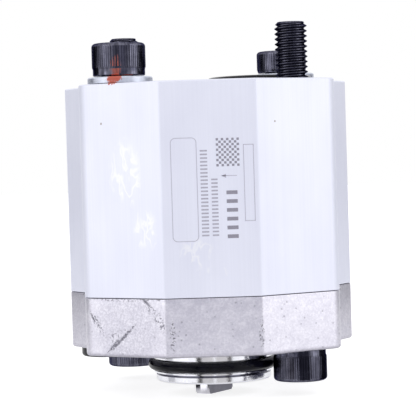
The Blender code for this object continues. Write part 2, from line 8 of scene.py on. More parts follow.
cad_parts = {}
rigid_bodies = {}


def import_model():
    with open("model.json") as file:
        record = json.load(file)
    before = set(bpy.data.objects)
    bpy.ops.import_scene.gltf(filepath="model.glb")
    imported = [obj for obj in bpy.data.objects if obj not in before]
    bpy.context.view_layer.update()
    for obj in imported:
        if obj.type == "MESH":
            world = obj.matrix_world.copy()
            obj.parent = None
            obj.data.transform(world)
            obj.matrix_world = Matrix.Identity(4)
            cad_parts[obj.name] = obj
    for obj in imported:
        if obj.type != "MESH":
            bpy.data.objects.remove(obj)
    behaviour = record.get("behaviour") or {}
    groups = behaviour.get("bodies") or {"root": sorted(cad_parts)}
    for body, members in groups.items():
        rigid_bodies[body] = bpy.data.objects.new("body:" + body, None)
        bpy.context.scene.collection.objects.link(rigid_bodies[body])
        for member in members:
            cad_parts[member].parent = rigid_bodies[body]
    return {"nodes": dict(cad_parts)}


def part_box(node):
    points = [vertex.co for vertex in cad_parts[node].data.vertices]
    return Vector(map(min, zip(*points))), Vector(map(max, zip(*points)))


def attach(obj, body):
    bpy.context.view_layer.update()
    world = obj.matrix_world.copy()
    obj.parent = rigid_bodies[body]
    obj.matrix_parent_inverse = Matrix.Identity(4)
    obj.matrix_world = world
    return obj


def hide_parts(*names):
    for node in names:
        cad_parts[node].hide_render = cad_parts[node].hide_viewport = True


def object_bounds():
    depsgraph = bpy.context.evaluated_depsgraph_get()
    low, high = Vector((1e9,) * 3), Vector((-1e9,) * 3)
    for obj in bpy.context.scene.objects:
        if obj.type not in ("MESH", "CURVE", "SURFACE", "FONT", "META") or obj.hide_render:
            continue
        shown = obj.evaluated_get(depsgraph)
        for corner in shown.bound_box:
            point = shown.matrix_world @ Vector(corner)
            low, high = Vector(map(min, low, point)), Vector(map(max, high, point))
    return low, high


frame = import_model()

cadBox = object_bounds()
mm = 0.001
print("frame loaded:", len(frame["nodes"]), "nodes")


# Operators act on the selection, so each step starts from none
def deselectAll():
    if bpy.context.object and bpy.context.object.mode != "OBJECT":
        bpy.ops.object.mode_set(mode="OBJECT")
    for item in bpy.context.view_layer.objects:
        item.select_set(False)


def activate(piece):
    deselectAll()
    piece.select_set(True)
    bpy.context.view_layer.objects.active = piece


def edit(piece):
    activate(piece)
    bpy.ops.object.mode_set(mode="EDIT")


def leaveEdit():
    bpy.ops.object.mode_set(mode="OBJECT")


# Select vertices, edges or faces of the mesh in edit mode by a test on them
def pick(piece, kind, test):
    mesh = bmesh.from_edit_mesh(piece.data)
    modes = {"verts": "VERT", "edges": "EDGE", "faces": "FACE"}
    bpy.ops.mesh.select_mode(type=modes[kind])
    bpy.ops.mesh.select_all(action="DESELECT")
    mesh = bmesh.from_edit_mesh(piece.data)
    found = 0
    for element in getattr(mesh, kind):
        if test(element):
            element.select_set(True)
            found += 1
    mesh.select_flush_mode()
    bmesh.update_edit_mesh(piece.data)
    return found


def applyModifier(piece, kind, **settings):
    activate(piece)
    step = piece.modifiers.new(kind.lower(), kind)
    for key, value in settings.items():
        setattr(step, key, value)
    bpy.ops.object.modifier_apply(modifier=step.name)


def cutWith(piece, cutter, operation="DIFFERENCE"):
    applyModifier(piece, "BOOLEAN", operation=operation, solver="EXACT", object=cutter)
    bpy.data.objects.remove(cutter)


# A bar along Z, used as a cutter
def addBar(radius, low, high, place, sides=64, turn=0.0):
    deselectAll()
    bpy.ops.mesh.primitive_cylinder_add(vertices=sides, radius=radius, depth=high - low,
                                        location=(place[0], place[1], (low + high) / 2),
                                        rotation=(0, 0, turn))
    return bpy.context.object


def vertPlace(piece, index=0):
    verts = bmesh.from_edit_mesh(piece.data).verts
    verts.ensure_lookup_table()
    return verts[index].co.copy()


def faceOutwards():
    bpy.ops.mesh.select_all(action="SELECT")
    bpy.ops.mesh.normals_make_consistent(inside=False)


def joinPieces(pieces):
    deselectAll()
    for piece in pieces:
        piece.select_set(True)
    bpy.context.view_layer.objects.active = pieces[0]
    bpy.ops.object.join()
    return pieces[0]


# A line drawn by extruding one point after the other, and left in edit mode
def drawLine(name, points):
    deselectAll()
    bpy.ops.mesh.primitive_plane_add(size=mm)
    piece = bpy.context.object
    piece.name = name
    edit(piece)
    pick(piece, "verts", lambda vert: vert.index > 0)
    bpy.ops.mesh.delete(type="VERT")
    pick(piece, "verts", lambda vert: True)
    bpy.ops.transform.translate(value=points[0] - vertPlace(piece))
    for before, after in zip(points, points[1:]):
        bpy.ops.mesh.extrude_vertices_move(TRANSFORM_OT_translate={"value": after - before})
    return piece


# A turned piece: its profile of (radius, height) points is spun about the axis at place
def spinProfile(name, profile, place=(0, 0), steps=96, closed=False):
    points = [Vector((place[0] + radius, place[1], height)) for radius, height in profile]
    if closed:
        points.append(points[0])
    piece = drawLine(name, points)
    bpy.ops.mesh.select_all(action="SELECT")
    bpy.ops.mesh.remove_doubles(threshold=0.001 * mm)
    bpy.ops.mesh.spin(steps=steps, angle=2 * math.pi, center=(*place, 0), axis=(0, 0, 1))
    bpy.ops.mesh.select_all(action="SELECT")
    bpy.ops.mesh.remove_doubles(threshold=0.001 * mm)
    bpy.ops.mesh.normals_make_consistent(inside=False)
    leaveEdit()
    return piece


def arcPoints(centre, radius, start, end, steps):
    return [(centre[0] + radius * math.cos(math.radians(start + (end - start) * step / steps)),
             centre[1] + radius * math.sin(math.radians(start + (end - start) * step / steps)))
            for step in range(steps + 1)]


# Origin at the world's, smooth walls with crisp edges, a material, a body and its node
def finishPiece(piece, material, body, nodes, angle=32, weighted=True):
    activate(piece)
    bpy.ops.object.transform_apply(location=True, rotation=True, scale=True)
    bpy.ops.object.shade_smooth_by_angle(angle=math.radians(angle))
    if weighted:
        applyModifier(piece, "WEIGHTED_NORMAL", keep_sharp=True, weight=100)
    if not piece.data.materials:
        piece.data.materials.append(material)
    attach(piece, body)
    if nodes:
        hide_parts(*nodes)
    print("made", piece.name, len(piece.data.polygons), "faces")


# sRGB hex to the linear colour that a shader socket holds
def hexColour(code):
    parts = [int(code[at:at + 2], 16) / 255 for at in (1, 3, 5)]
    return (*[part / 12.92 if part <= 0.04045 else ((part + 0.055) / 1.055) ** 2.4
              for part in parts], 1.0)


# How often a pattern whose grain is so many millimetres repeats in a metre
def grain(*sizes):
    scales = tuple(1 / (size * mm) for size in sizes)
    return scales if len(scales) > 1 else scales[0]


# One node with its settings and links. An input takes a number, a vector or a hex colour,
# or the node or socket that feeds it
def addNode(tree, kind, inputs=None, **settings):
    node = tree.nodes.new("ShaderNode" + kind)
    for key, value in settings.items():
        setattr(node, key, value)
    for key, value in (inputs or {}).items():
        if isinstance(value, bpy.types.Node):
            value = next(socket for socket in value.outputs if socket.enabled)
        if isinstance(value, bpy.types.NodeSocket):
            tree.links.new(value, node.inputs[key])
        else:
            node.inputs[key].default_value = hexColour(value) if isinstance(value, str) else value
    return node


def startMaterial(name):
    material = bpy.data.materials.new(name)
    material.use_nodes = True
    tree = material.node_tree
    tree.nodes.clear()
    return material, tree, addNode(tree, "TexCoord").outputs["Object"]


# Noise with a grain of its own in millimetres along each axis
def addGrain(tree, coords, sizes, **inputs):
    placed = addNode(tree, "Mapping", {"Vector": coords, "Scale": grain(*sizes)})
    return addNode(tree, "TexNoise", {"Vector": placed, "Scale": 1.0, **inputs})


# The two tones of a finish, laid out by a noise
def addTones(tree, noise, first, second):
    share = addNode(tree, "MapRange", {0: noise, 1: 0.3, 2: 0.7})
    return addNode(tree, "Mix", {0: share, 6: first, 7: second}, data_type="RGBA")


def closeMaterial(material, tree, sockets):
    shader = addNode(tree, "BsdfPrincipled", sockets)
    addNode(tree, "OutputMaterial", {"Surface": shader})
    return material


# Spots with ragged edges: 1 inside any of the ellipsoids, 0 outside. Each is its middle and
# its half sizes in millimetres, and may have its (pitch, heading) in degrees
def addSpots(tree, coords, spots, ragged=0.0, wobble=None, edge=0.25):
    total = None
    for middle, size, *turn in spots:
        pitch, heading = turn[0] if turn else (0, 0)
        placed = addNode(tree, "Mapping", {
            "Vector": coords, "Location": tuple(at * mm for at in middle),
            "Rotation": (0, math.radians(pitch), math.radians(heading)),
            "Scale": tuple(part * mm for part in size)}, vector_type="TEXTURE")
        reach = addNode(tree, "VectorMath", {0: placed}, operation="LENGTH")
        if wobble:
            shift = addNode(tree, "MapRange", {0: wobble, 1: 0.3, 2: 0.7, 3: -ragged, 4: ragged})
            reach = addNode(tree, "Math", {0: reach, 1: shift}, operation="ADD")
        spot = addNode(tree, "MapRange", {0: reach, 1: 1.0 - edge, 2: 1.0 + edge, 3: 1.0, 4: 0.0})
        total = addNode(tree, "Math", {0: total, 1: spot}, operation="MAXIMUM") if total else spot
    return total


# The red torque mark: one dry brush stroke over the head, the washer and the body's edge
torqueMark = {
    "thin": "#a85c4c", "full": "#bf5c4a", "bristle": (0.22, 0.22, 4.0),
    "head": [((-21.7, -16.6, 69.7), (1.15, 3.0, 2.4))],
    "below": [((-22.1, -17.0, 67.0), (1.6, 4.0, 1.0)), ((-19.0, -16.0, 67.6), (2.0, 4.0, 0.16)),
              ((-22.6, -20.0, 65.7), (1.1, 5.0, 0.75))],
}


def addTorqueMark(tree, coords, colour):
    wobble = addGrain(tree, coords, (0.45, 0.45, 1.4), Detail=3.0)
    streaks = addGrain(tree, coords, torqueMark["bristle"])
    streaks = addNode(tree, "MapRange", {0: streaks, 1: 0.38, 2: 0.62, 3: 0.45, 4: 1.0})
    head = addSpots(tree, coords, torqueMark["head"], 0.35, wobble, 0.3)
    head = addNode(tree, "Math", {0: head, 1: streaks}, operation="MULTIPLY")
    below = addSpots(tree, coords, torqueMark["below"], 0.3, wobble, 0.15)
    colour = addNode(tree, "Mix", {0: head, 6: colour, 7: torqueMark["thin"]}, data_type="RGBA")
    colour = addNode(tree, "Mix", {0: below, 6: colour, 7: torqueMark["full"]}, data_type="RGBA")
    paint = addNode(tree, "Math", {0: head, 1: below}, operation="MAXIMUM")
    return colour, paint


# Anodised aluminium, extruded and etched: pale, satin, with faint die lines along Z
def makeAnodised():
    material, tree, coords = startMaterial("anodisedExtrusion")
    dieLines = addGrain(tree, coords, (0.45, 0.45, 60.0), Detail=3.0, Roughness=0.6)
    cloud = addGrain(tree, coords, (9.0, 9.0, 22.0))
    colour = addTones(tree, cloud, "#e4e6f5", "#eaecfa")
    lined = addNode(tree, "MapRange", {0: dieLines, 1: 0.35, 2: 0.65, 4: 0.12})
    colour = addNode(tree, "Mix", {0: lined, 6: colour, 7: "#d3d5e3"}, data_type="RGBA")
    specks = addSpots(tree, coords, [((-25.5, -21.5, 55.9), (0.22, 0.5, 0.3)),
                                     ((15.8, -27.3, 55.2), (0.2, 0.5, 0.25)),
                                     ((-33.5, -7.0, 36.0), (3.0, 0.5, 0.5))])
    colour = addNode(tree, "Mix", {0: specks, 6: colour, 7: "#aea6a4"}, data_type="RGBA")
    # dried adhesive leaves glossier patches on two facets; the pale strings on them are painted highlights
    # of its wrinkles
    smear = addSpots(tree, coords, [((-19.7, -25.0, 44.5), (3.4, 5.0, 6.5)),
                                    ((-15.9, -27.2, 30.5), (2.2, 5.0, 3.6)),
                                    ((-3.5, -30.0, 24.5), (3.2, 3.0, 3.0)),
                                    ((0.8, -30.0, 19.8), (3.0, 3.0, 2.0))], 0.5, cloud)
    stringHighlights = addGrain(tree, coords, (2.6, 2.6, 5.0), Detail=2.0, Distortion=0.3)
    stringHighlights = addNode(tree, "Math", {0: stringHighlights, 1: 0.5}, operation="SUBTRACT")
    stringHighlights = addNode(tree, "Math", {0: stringHighlights}, operation="ABSOLUTE")
    stringHighlights = addNode(tree, "MapRange", {0: stringHighlights, 1: 0.0, 2: 0.07, 3: 0.5, 4: 0.0})
    stringHighlights = addNode(tree, "Math", {0: stringHighlights, 1: smear}, operation="MULTIPLY")
    colour = addNode(tree, "Mix", {0: stringHighlights, 6: colour, 7: "#fdfdff"}, data_type="RGBA")
    colour, paint = addTorqueMark(tree, coords, colour)
    matt = addNode(tree, "MapRange", {0: dieLines, 1: 0.3, 2: 0.7, 3: 0.4, 4: 0.45})
    shine = addNode(tree, "Math", {0: smear, 1: 0.06}, operation="MULTIPLY")
    matt = addNode(tree, "Math", {0: matt, 1: shine}, operation="SUBTRACT")
    metal = addNode(tree, "MapRange", {0: paint, 3: 0.25, 4: 0.0})
    fine = addNode(tree, "Bump", {"Height": dieLines, "Strength": 0.12, "Distance": 0.03 * mm})
    return closeMaterial(material, tree, {
        "Base Color": colour, "Roughness": matt, "Metallic": metal, "Normal": fine})


# Bare milled aluminium: brighter than the anodised walls, with cutter arcs
def makeMilled():
    material, tree, coords = startMaterial("milledAluminium")
    arcs = addNode(tree, "Mapping", {
        "Vector": coords, "Location": (0.09, -0.05, 0), "Scale": grain(1.1, 1.1, 1.1)})
    rings = addNode(tree, "TexWave", {
        "Vector": arcs, "Scale": 0.5, "Distortion": 0.6, "Detail": 1.0},
        wave_type="RINGS", rings_direction="Z")
    dull = addNode(tree, "TexNoise", {"Vector": coords, "Scale": grain(5.0)})
    colour = addTones(tree, dull, "#d9dbe4", "#e7e8ef")
    matt = addNode(tree, "MapRange", {0: dull, 1: 0.3, 2: 0.7, 3: 0.28, 4: 0.4})
    cut = addNode(tree, "Bump", {"Height": rings, "Strength": 0.12, "Distance": 0.02 * mm})
    return closeMaterial(material, tree, {
        "Base Color": colour, "Roughness": matt, "Metallic": 1.0, "Normal": cut})


# Gravity-cast aluminium, blasted: dull grain, small pits, and scuffs that show dark
castMarks = {
    "scuffs": [((-22.1, -23.5, 4.3), (4.3, 0.8, 0.34), (-41, -31.1)),
               ((-23.9, -22.4, 2.9), (2.0, 0.8, 0.3), (-45, -31.1)),
               ((-29.0, -19.4, 9.3), (0.9, 0.6, 0.2), (57, -31.1)),
               ((-15.9, -27.3, 13.2), (1.3, 0.6, 0.3), (40, -31.1))],
    "dots": [((-9.8, -30.0, 5.2), (0.7, 0.6, 3.8)),
             ((11.2, -30.0, 5.4), (0.6, 1.2, 3.6)),
             ((-14.4, -28.2, 10.8), (4.0, 0.9, 0.9), (52, -31.1)),
             ((-12.5, -29.3, 8.4), (2.6, 0.9, 0.8), (70, -31.1)),
             ((-23.6, -22.6, 5.0), (2.0, 0.9, 1.0), (-41, -31.1)),
             ((-28.0, -20.0, 8.0), (3.2, 0.9, 0.7), (57, -31.1)),
             ((-20.5, -24.9, 13.8), (10.0, 2.0, 0.45), (0, -31.1))],
    "smudge": [((-20.5, -24.9, 7.0), (10.0, 2.0, 9.0), (0, -31.1))],
}


def makeCast():
    material, tree, coords = startMaterial("castAluminium")
    sand = addNode(tree, "TexNoise", {
        "Vector": coords, "Scale": grain(0.55), "Detail": 4.0, "Roughness": 0.7})
    blotch = addGrain(tree, coords, (3.2, 3.2, 2.4), Detail=4.0, Roughness=0.65)
    tint = addNode(tree, "MapRange", {0: blotch, 1: 0.35, 2: 0.65})
    colour = addNode(tree, "Mix", {0: tint, 6: "#dbd9e5", 7: "#ebe9f3"}, data_type="RGBA")
    low = addNode(tree, "MapRange", {0: sand, 1: 0.36, 2: 0.64, 3: 0.35, 4: 0.0})
    colour = addNode(tree, "Mix", {0: low, 6: colour, 7: "#b3b1be"}, data_type="RGBA")
    high = addNode(tree, "MapRange", {0: sand, 1: 0.52, 2: 0.72, 3: 0.0, 4: 0.4})
    colour = addNode(tree, "Mix", {0: high, 6: colour, 7: "#f6f4fa"}, data_type="RGBA")
    pits = addNode(tree, "TexVoronoi", {"Vector": coords, "Scale": grain(1.5)})
    pits = addNode(tree, "MapRange", {0: pits, 1: 0.1, 2: 0.2, 3: 1.0, 4: 0.0})
    patches = addNode(tree, "MapRange", {0: blotch, 1: 0.42, 2: 0.55, 3: 0.5, 4: 0.0})
    pits = addNode(tree, "Math", {0: pits, 1: patches}, operation="MULTIPLY")
    colour = addNode(tree, "Mix", {0: pits, 6: colour, 7: "#77757f"}, data_type="RGBA")
    wobble = addNode(tree, "TexNoise", {
        "Vector": coords, "Scale": grain(0.5), "Roughness": 0.7})
    scuffs = addSpots(tree, coords, castMarks["scuffs"], 0.75, wobble, 0.3)
    pepper = addNode(tree, "MapRange", {0: wobble, 1: 0.54, 2: 0.6})
    dots = addSpots(tree, coords, castMarks["dots"])
    dots = addNode(tree, "Math", {0: dots, 1: pepper}, operation="MULTIPLY")
    scuffs = addNode(tree, "Math", {0: scuffs, 1: dots}, operation="MAXIMUM")
    black = addNode(tree, "Math", {0: scuffs, 1: 0.9}, operation="MULTIPLY")
    colour = addNode(tree, "Mix", {0: black, 6: colour, 7: "#4c4b56"}, data_type="RGBA")
    smudge = addSpots(tree, coords, castMarks["smudge"])
    film = addNode(tree, "MapRange", {0: wobble, 1: 0.4, 2: 0.6, 3: 0.1, 4: 0.6})
    smudge = addNode(tree, "Math", {0: smudge, 1: film}, operation="MULTIPLY")
    colour = addNode(tree, "Mix", {0: smudge, 6: colour, 7: "#b4b2bf"}, data_type="RGBA")
    # the lower rim is painted darker, as shade on its downward bevel
    height = addNode(tree, "SeparateXYZ", {0: coords}).outputs["Z"]
    rimShade = addNode(tree, "MapRange", {0: height, 1: 0.2 * mm, 2: 1.1 * mm, 3: 0.55, 4: 0.0})
    colour = addNode(tree, "Mix", {0: rimShade, 6: colour, 7: "#8a8895"}, data_type="RGBA")
    matt = addNode(tree, "MapRange", {0: blotch, 1: 0.3, 2: 0.7, 3: 0.29, 4: 0.37})
    skin = addNode(tree, "Bump", {"Height": sand, "Strength": 0.25, "Distance": 0.06 * mm})
    hollows = addNode(tree, "Math", {0: pits, 1: scuffs}, operation="ADD")
    dented = addNode(tree, "Bump", {
        "Height": hollows, "Strength": 0.5, "Distance": 0.1 * mm, "Normal": skin}, invert=True)
    return closeMaterial(material, tree, {
        "Base Color": colour, "Roughness": matt, "Metallic": 0.85, "Normal": dented})


# Turned aluminium: very bright, fine feed rings round the shaft axis spread each reflection up and down, and
# the undercut is painted shade
def makeTurned():
    material, tree, coords = startMaterial("turnedAluminium")
    flat = addNode(tree, "VectorMath", {0: coords, 1: (1, 1, 0)}, operation="MULTIPLY")
    radius = addNode(tree, "VectorMath", {0: flat}, operation="LENGTH")
    height = addNode(tree, "SeparateXYZ", {0: coords}).outputs["Z"]
    along = addNode(tree, "Math", {0: radius, 1: height}, operation="ADD")
    along = addNode(tree, "CombineXYZ", {0: along})
    feed = addNode(tree, "TexNoise", {"Vector": along, "Scale": grain(0.22)})
    dull = addNode(tree, "TexNoise", {"Vector": coords, "Scale": grain(3.0)})
    colour = addTones(tree, dull, "#eeeff5", "#fafaff")
    # a band inside the undercut is painted darker, as shade
    inside = addNode(tree, "MapRange", {0: radius, 1: 14.0 * mm, 2: 14.9 * mm, 3: 1.0, 4: 0.0})
    above = addNode(tree, "MapRange", {0: height, 1: -6.9 * mm, 2: -6.7 * mm})
    below = addNode(tree, "MapRange", {0: height, 1: -6.1 * mm, 2: -6.0 * mm, 3: 1.0, 4: 0.0})
    toneMask = addNode(tree, "Math", {0: above, 1: below}, operation="MULTIPLY")
    toneMask = addNode(tree, "Math", {0: toneMask, 1: inside}, operation="MULTIPLY")
    colour = addNode(tree, "Mix", {0: toneMask, 6: colour, 7: "#868694"}, data_type="RGBA")
    matt = addNode(tree, "MapRange", {0: feed, 1: 0.3, 2: 0.7, 3: 0.1, 4: 0.18})
    rings = addNode(tree, "Bump", {"Height": feed, "Strength": 0.7, "Distance": 0.05 * mm})
    return closeMaterial(material, tree, {
        "Base Color": colour, "Roughness": matt, "Metallic": 1.0, "Normal": rings})


# Black oxide on quenched steel, oiled: blue-black, half gloss
def makeBlackOxide(name, dark, light, matt, marked=False):
    material, tree, coords = startMaterial(name)
    toneMask = addNode(tree, "TexNoise", {
        "Vector": coords, "Scale": grain(2.2), "Detail": 3.0, "Roughness": 0.6})
    colour = addTones(tree, toneMask, dark, light)
    # oil that ran down the head and the thread leaves dark streaks along the axis
    streaks = addGrain(tree, coords, (0.6, 0.6, 11.0), Detail=2.0)
    streaks = addNode(tree, "MapRange", {0: streaks, 1: 0.36, 2: 0.64, 4: 0.55})
    colour = addNode(tree, "Mix", {0: streaks, 6: colour, 7: "#20202a"}, data_type="RGBA")
    metal = 1.0
    if marked:
        colour, paint = addTorqueMark(tree, coords, colour)
        metal = addNode(tree, "MapRange", {0: paint, 3: 1.0, 4: 0.0})
    matt = addNode(tree, "MapRange", {0: toneMask, 1: 0.3, 2: 0.7, 3: matt - 0.05, 4: matt + 0.05})
    fine = addNode(tree, "TexNoise", {"Vector": coords, "Scale": grain(0.35)})
    skin = addNode(tree, "Bump", {"Height": fine, "Strength": 0.12, "Distance": 0.02 * mm})
    return closeMaterial(material, tree, {
        "Base Color": colour, "Roughness": matt, "Metallic": metal,
        "Specular Tint": "#8c8c9a", "Normal": skin})


# Bright zinc plate on a stamped washer: bluish silver with a soft bloom
def makeZinc():
    material, tree, coords = startMaterial("zincPlate")
    bloom = addNode(tree, "TexNoise", {
        "Vector": coords, "Scale": grain(1.4), "Detail": 3.0, "Roughness": 0.6})
    colour = addTones(tree, bloom, "#c9cede", "#e2e6f2")
    colour, paint = addTorqueMark(tree, coords, colour)
    metal = addNode(tree, "MapRange", {0: paint, 3: 1.0, 4: 0.0})
    matt = addNode(tree, "MapRange", {0: bloom, 1: 0.3, 2: 0.7, 3: 0.38, 4: 0.5})
    skin = addNode(tree, "Bump", {"Height": bloom, "Strength": 0.1, "Distance": 0.03 * mm})
    return closeMaterial(material, tree, {
        "Base Color": colour, "Roughness": matt, "Metallic": metal, "Normal": skin})


# A plain finish with a speckle of its own size in millimetres
def makeFinish(name, first, second, speckle, metallic, roughness, ior=1.5, shine=0.5):
    material, tree, coords = startMaterial(name)
    noise = addNode(tree, "TexNoise", {
        "Vector": coords, "Scale": grain(speckle), "Detail": 3.0, "Roughness": 0.6})
    colour = addTones(tree, noise, first, second)
    matt = addNode(tree, "MapRange", {
        0: noise, 1: 0.3, 2: 0.7, 3: roughness - 0.06, 4: roughness + 0.06})
    skin = addNode(tree, "Bump", {"Height": noise, "Strength": 0.1, "Distance": 0.02 * mm})
    return closeMaterial(material, tree, {
        "Base Color": colour, "Roughness": matt, "Metallic": metallic, "IOR": ior,
        "Specular IOR Level": shine, "Normal": skin})


# Case-hardened steel: ground bright, or milled and left grey, with cutting lines and oil stains
def makeHardSteel(name, dark, light, matt):
    material, tree, coords = startMaterial(name)
    lines = addGrain(tree, coords, (0.2, 6.0, 0.2))
    stain = addNode(tree, "TexNoise", {"Vector": coords, "Scale": grain(2.5), "Detail": 3.0})
    colour = addTones(tree, stain, dark, light)
    matt = addNode(tree, "MapRange", {0: stain, 1: 0.3, 2: 0.7, 3: matt - 0.05, 4: matt + 0.05})
    skin = addNode(tree, "Bump", {"Height": lines, "Strength": 0.12, "Distance": 0.02 * mm})
    return closeMaterial(material, tree, {
        "Base Color": colour, "Roughness": matt, "Metallic": 1.0, "Normal": skin})


anodised = makeAnodised()
milled = makeMilled()
cast = makeCast()
turnedMetal = makeTurned()
blackOxide = makeBlackOxide("blackOxideSteel", "#5a5a6a", "#7c7c8c", 0.16)
blackOxideMarked = makeBlackOxide("blackOxideSteelMarked", "#5a5a6a", "#7c7c8c", 0.16, True)
# where the knurl ends, the oxide is rubbed through to the steel
wornOxide = makeBlackOxide("blackOxideWorn", "#4c4c5a", "#6c6c7a", 0.2)
# the knurl's grooves are painted darker than its ridges, as shade
shadedGrooveOxide = makeBlackOxide("blackOxideGrooveShade", "#434350", "#5c5c6c", 0.24)
# the thread is painted darker than the head, as shade between its turns and oil left in them
oiledShadedOxide = makeBlackOxide("blackOxideOiledShaded", "#52525f", "#6a6a7a", 0.28)
zinc = makeZinc()
groundSteel = makeHardSteel("groundSteel", "#c6c5ce", "#e6e5ec", 0.14)
# the tang's flats are a milled finish, and are also painted darker than the ground end, as shade
milledShadedSteel = makeHardSteel("milledShadedSteel", "#77767f", "#8f8e98", 0.34)
# Moulded nitrile rubber: near black, oily half gloss, a little bloom
rubber = makeFinish("nitrileRubber", "#07070e", "#0d0d1a", 1.8, 0.0, 0.2, 1.48, 0.17)
# Die-cast bearing alloy: dull silver, fine crystals
bearingAlloy = makeFinish("bearingAlloy", "#a9a9ae", "#c2c2c7", 1.2, 0.9, 0.4)
# Sintered bronze under a dark sliding layer: brown, dry
linedBronze = makeFinish("linedBronze", "#7d6040", "#9a7a4e", 0.5, 0.8, 0.42)
# Oil-tempered spring steel: dark grey with a blue cast
springSteel = makeFinish("springSteel", "#45464e", "#5c5d66", 0.9, 1.0, 0.34)
# Natural polyamide: ivory, waxy
backupPlastic = makeFinish("naturalPolyamide", "#d8d2bf", "#e6e1d0", 1.5, 0.0, 0.48, 1.53)
# Moulded polyethylene, black: soft sheen, fine mould grain
plugPlastic = makeFinish("blackPolyethylene", "#0b0b12", "#15151e", 0.5, 0.0, 0.3, 1.54, 0.2)
# Printed marking ink: thin lavender grey, matt
inks = {
    "faint": makeFinish("markingInkFaint", "#b2b0c0", "#c0bece", 0.3, 0.0, 0.6),
    "plain": makeFinish("markingInk", "#a09eae", "#b2b0be", 0.3, 0.0, 0.6),
    "dense": makeFinish("markingInkDense", "#83818f", "#94929f", 0.3, 0.0, 0.6),
}
print("materials made")

# Carried-over nodes keep their shape and take these finishes
nodeFinishes = {
    bearingAlloy: ["front_bearing_block", "rear_bearing_block"],
    linedBronze: ["front_drive_bush", "front_driven_bush", "rear_drive_bush",
                  "rear_driven_bush"],
    rubber: ["front_balance_seal", "rear_balance_seal", "body_joint_seal",
             "outlet_transfer_o_ring"],
    backupPlastic: ["front_backup_strip", "rear_backup_strip"],
    springSteel: ["garter_spring"],
    groundSteel: ["driven_gear_shaft", "locating_dowel_front", "locating_dowel_back"],
}
for material, names in nodeFinishes.items():
    for name in names:
        slots = frame["nodes"][name].data.materials
        slots.clear()
        slots.append(material)

# The camera stands where the photograph was taken from
cameraFacts = {"place": (-6.53, -468.95, 47.09), "yaw": -0.768, "pitch": -1.547,
               "roll": -1.730, "lens": 161.71, "sensor": 36.0}


def makeCamera():
    data = bpy.data.cameras.new("camera")
    data.lens, data.sensor_width = cameraFacts["lens"], cameraFacts["sensor"]
    data.clip_start, data.clip_end = 0.02, 20.0
    camera = bpy.data.objects.new("camera", data)
    bpy.context.scene.collection.objects.link(camera)
    turn = (Matrix.Rotation(math.radians(cameraFacts["yaw"]), 4, "Z")
            @ Matrix.Rotation(math.radians(cameraFacts["pitch"]), 4, "X")
            @ Matrix.Rotation(-math.radians(cameraFacts["roll"]), 4, "Y")
            @ Matrix.Rotation(math.radians(90), 4, "X"))
    camera.matrix_world = Matrix.Translation(Vector(cameraFacts["place"]) * mm) @ turn
    bpy.context.scene.camera = camera


makeCamera()

# The eight-sided section shared by the body and the flange, in millimetres.
# The overall width and depth come from the frame.
section = {
    "labelFacet": 22.8, "shoulderWidth": 61.6, "shoulderDepth": 62.6,
    "flareWidth": 63.0, "flareDepth": 28.0, "padDepth": 13.0,
    "facetRound": 1.2, "shoulderRound": 3.5, "flareRound": 2.0, "padRound": 1.2,
}
bodyLow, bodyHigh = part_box("pump_body")
middleX, middleY = (bodyLow.x + bodyHigh.x) / 2, (bodyLow.y + bodyHigh.y) / 2


def sectionCorners():
    width, depth = (bodyHigh.x - bodyLow.x) / mm, (bodyHigh.y - bodyLow.y) / mm
    quarter = [(section["labelFacet"], depth, section["facetRound"]),
               (section["shoulderWidth"], section["shoulderDepth"], section["shoulderRound"]),
               (section["flareWidth"], section["flareDepth"], section["flareRound"]),
               (width, section["padDepth"], section["padRound"])]
    corners = []
    for sideX, sideY, points in ((-1, 1, quarter), (-1, -1, quarter[::-1]),
                                 (1, -1, quarter), (1, 1, quarter[::-1])):
        corners += [(Vector((middleX + sideX * x * mm / 2, middleY + sideY * y * mm / 2)),
                     rounding * mm) for x, y, rounding in points]
    return corners


# A block with that section: a filled ring of corners, rounded, extruded and rim-bevelled
def makeSection(name, low, high, lowRim, highRim):
    corners = sectionCorners()
    deselectAll()
    bpy.ops.mesh.primitive_circle_add(vertices=len(corners), radius=bodyHigh.x,
                                      fill_type="NGON", location=(middleX, middleY, low))
    piece = bpy.context.object
    piece.name = name
    activate(piece)
    bpy.ops.object.transform_apply(location=True)
    edit(piece)
    for index, (corner, rounding) in enumerate(corners):
        pick(piece, "verts", lambda vert: vert.index == index)
        move = Vector((corner.x, corner.y, low)) - vertPlace(piece, index)
        bpy.ops.transform.translate(value=move)
    for index, (corner, rounding) in enumerate(corners):
        before = (corners[index - 1][0] - corner).normalized()
        after = (corners[(index + 1) % len(corners)][0] - corner).normalized()
        reach = rounding / math.tan(before.angle(after) / 2)
        spot = Vector((corner.x, corner.y, low))
        pick(piece, "verts", lambda vert: (vert.co - spot).length < 0.01 * mm)
        bpy.ops.mesh.bevel(offset=reach, segments=6 if rounding > 3 * mm else 4,
                           affect="VERTICES", offset_type="OFFSET")
    bpy.ops.mesh.select_mode(type="FACE")
    bpy.ops.mesh.select_all(action="SELECT")
    bpy.ops.mesh.extrude_region_move(TRANSFORM_OT_translate={"value": (0, 0, high - low)})
    faceOutwards()
    for level, rim in ((low, lowRim), (high, highRim)):
        pick(piece, "edges", lambda edge: all(abs(vert.co.z - level) < 0.01 * mm
                                              for vert in edge.verts))
        bpy.ops.mesh.bevel(offset=rim, segments=4, affect="EDGES")
    leaveEdit()
    return piece


# Break the edges of a round hole's mouth
def chamferMouth(piece, place, radius, height, width):
    def onMouth(edge):
        return all(abs(vert.co.z - height) < 0.01 * mm
                   and abs(math.hypot(vert.co.x - place[0], vert.co.y - place[1]) - radius)
                   < 0.02 * mm for vert in edge.verts)

    edit(piece)
    if pick(piece, "edges", onMouth):
        bpy.ops.mesh.bevel(offset=width, segments=2, affect="EDGES")
    leaveEdit()


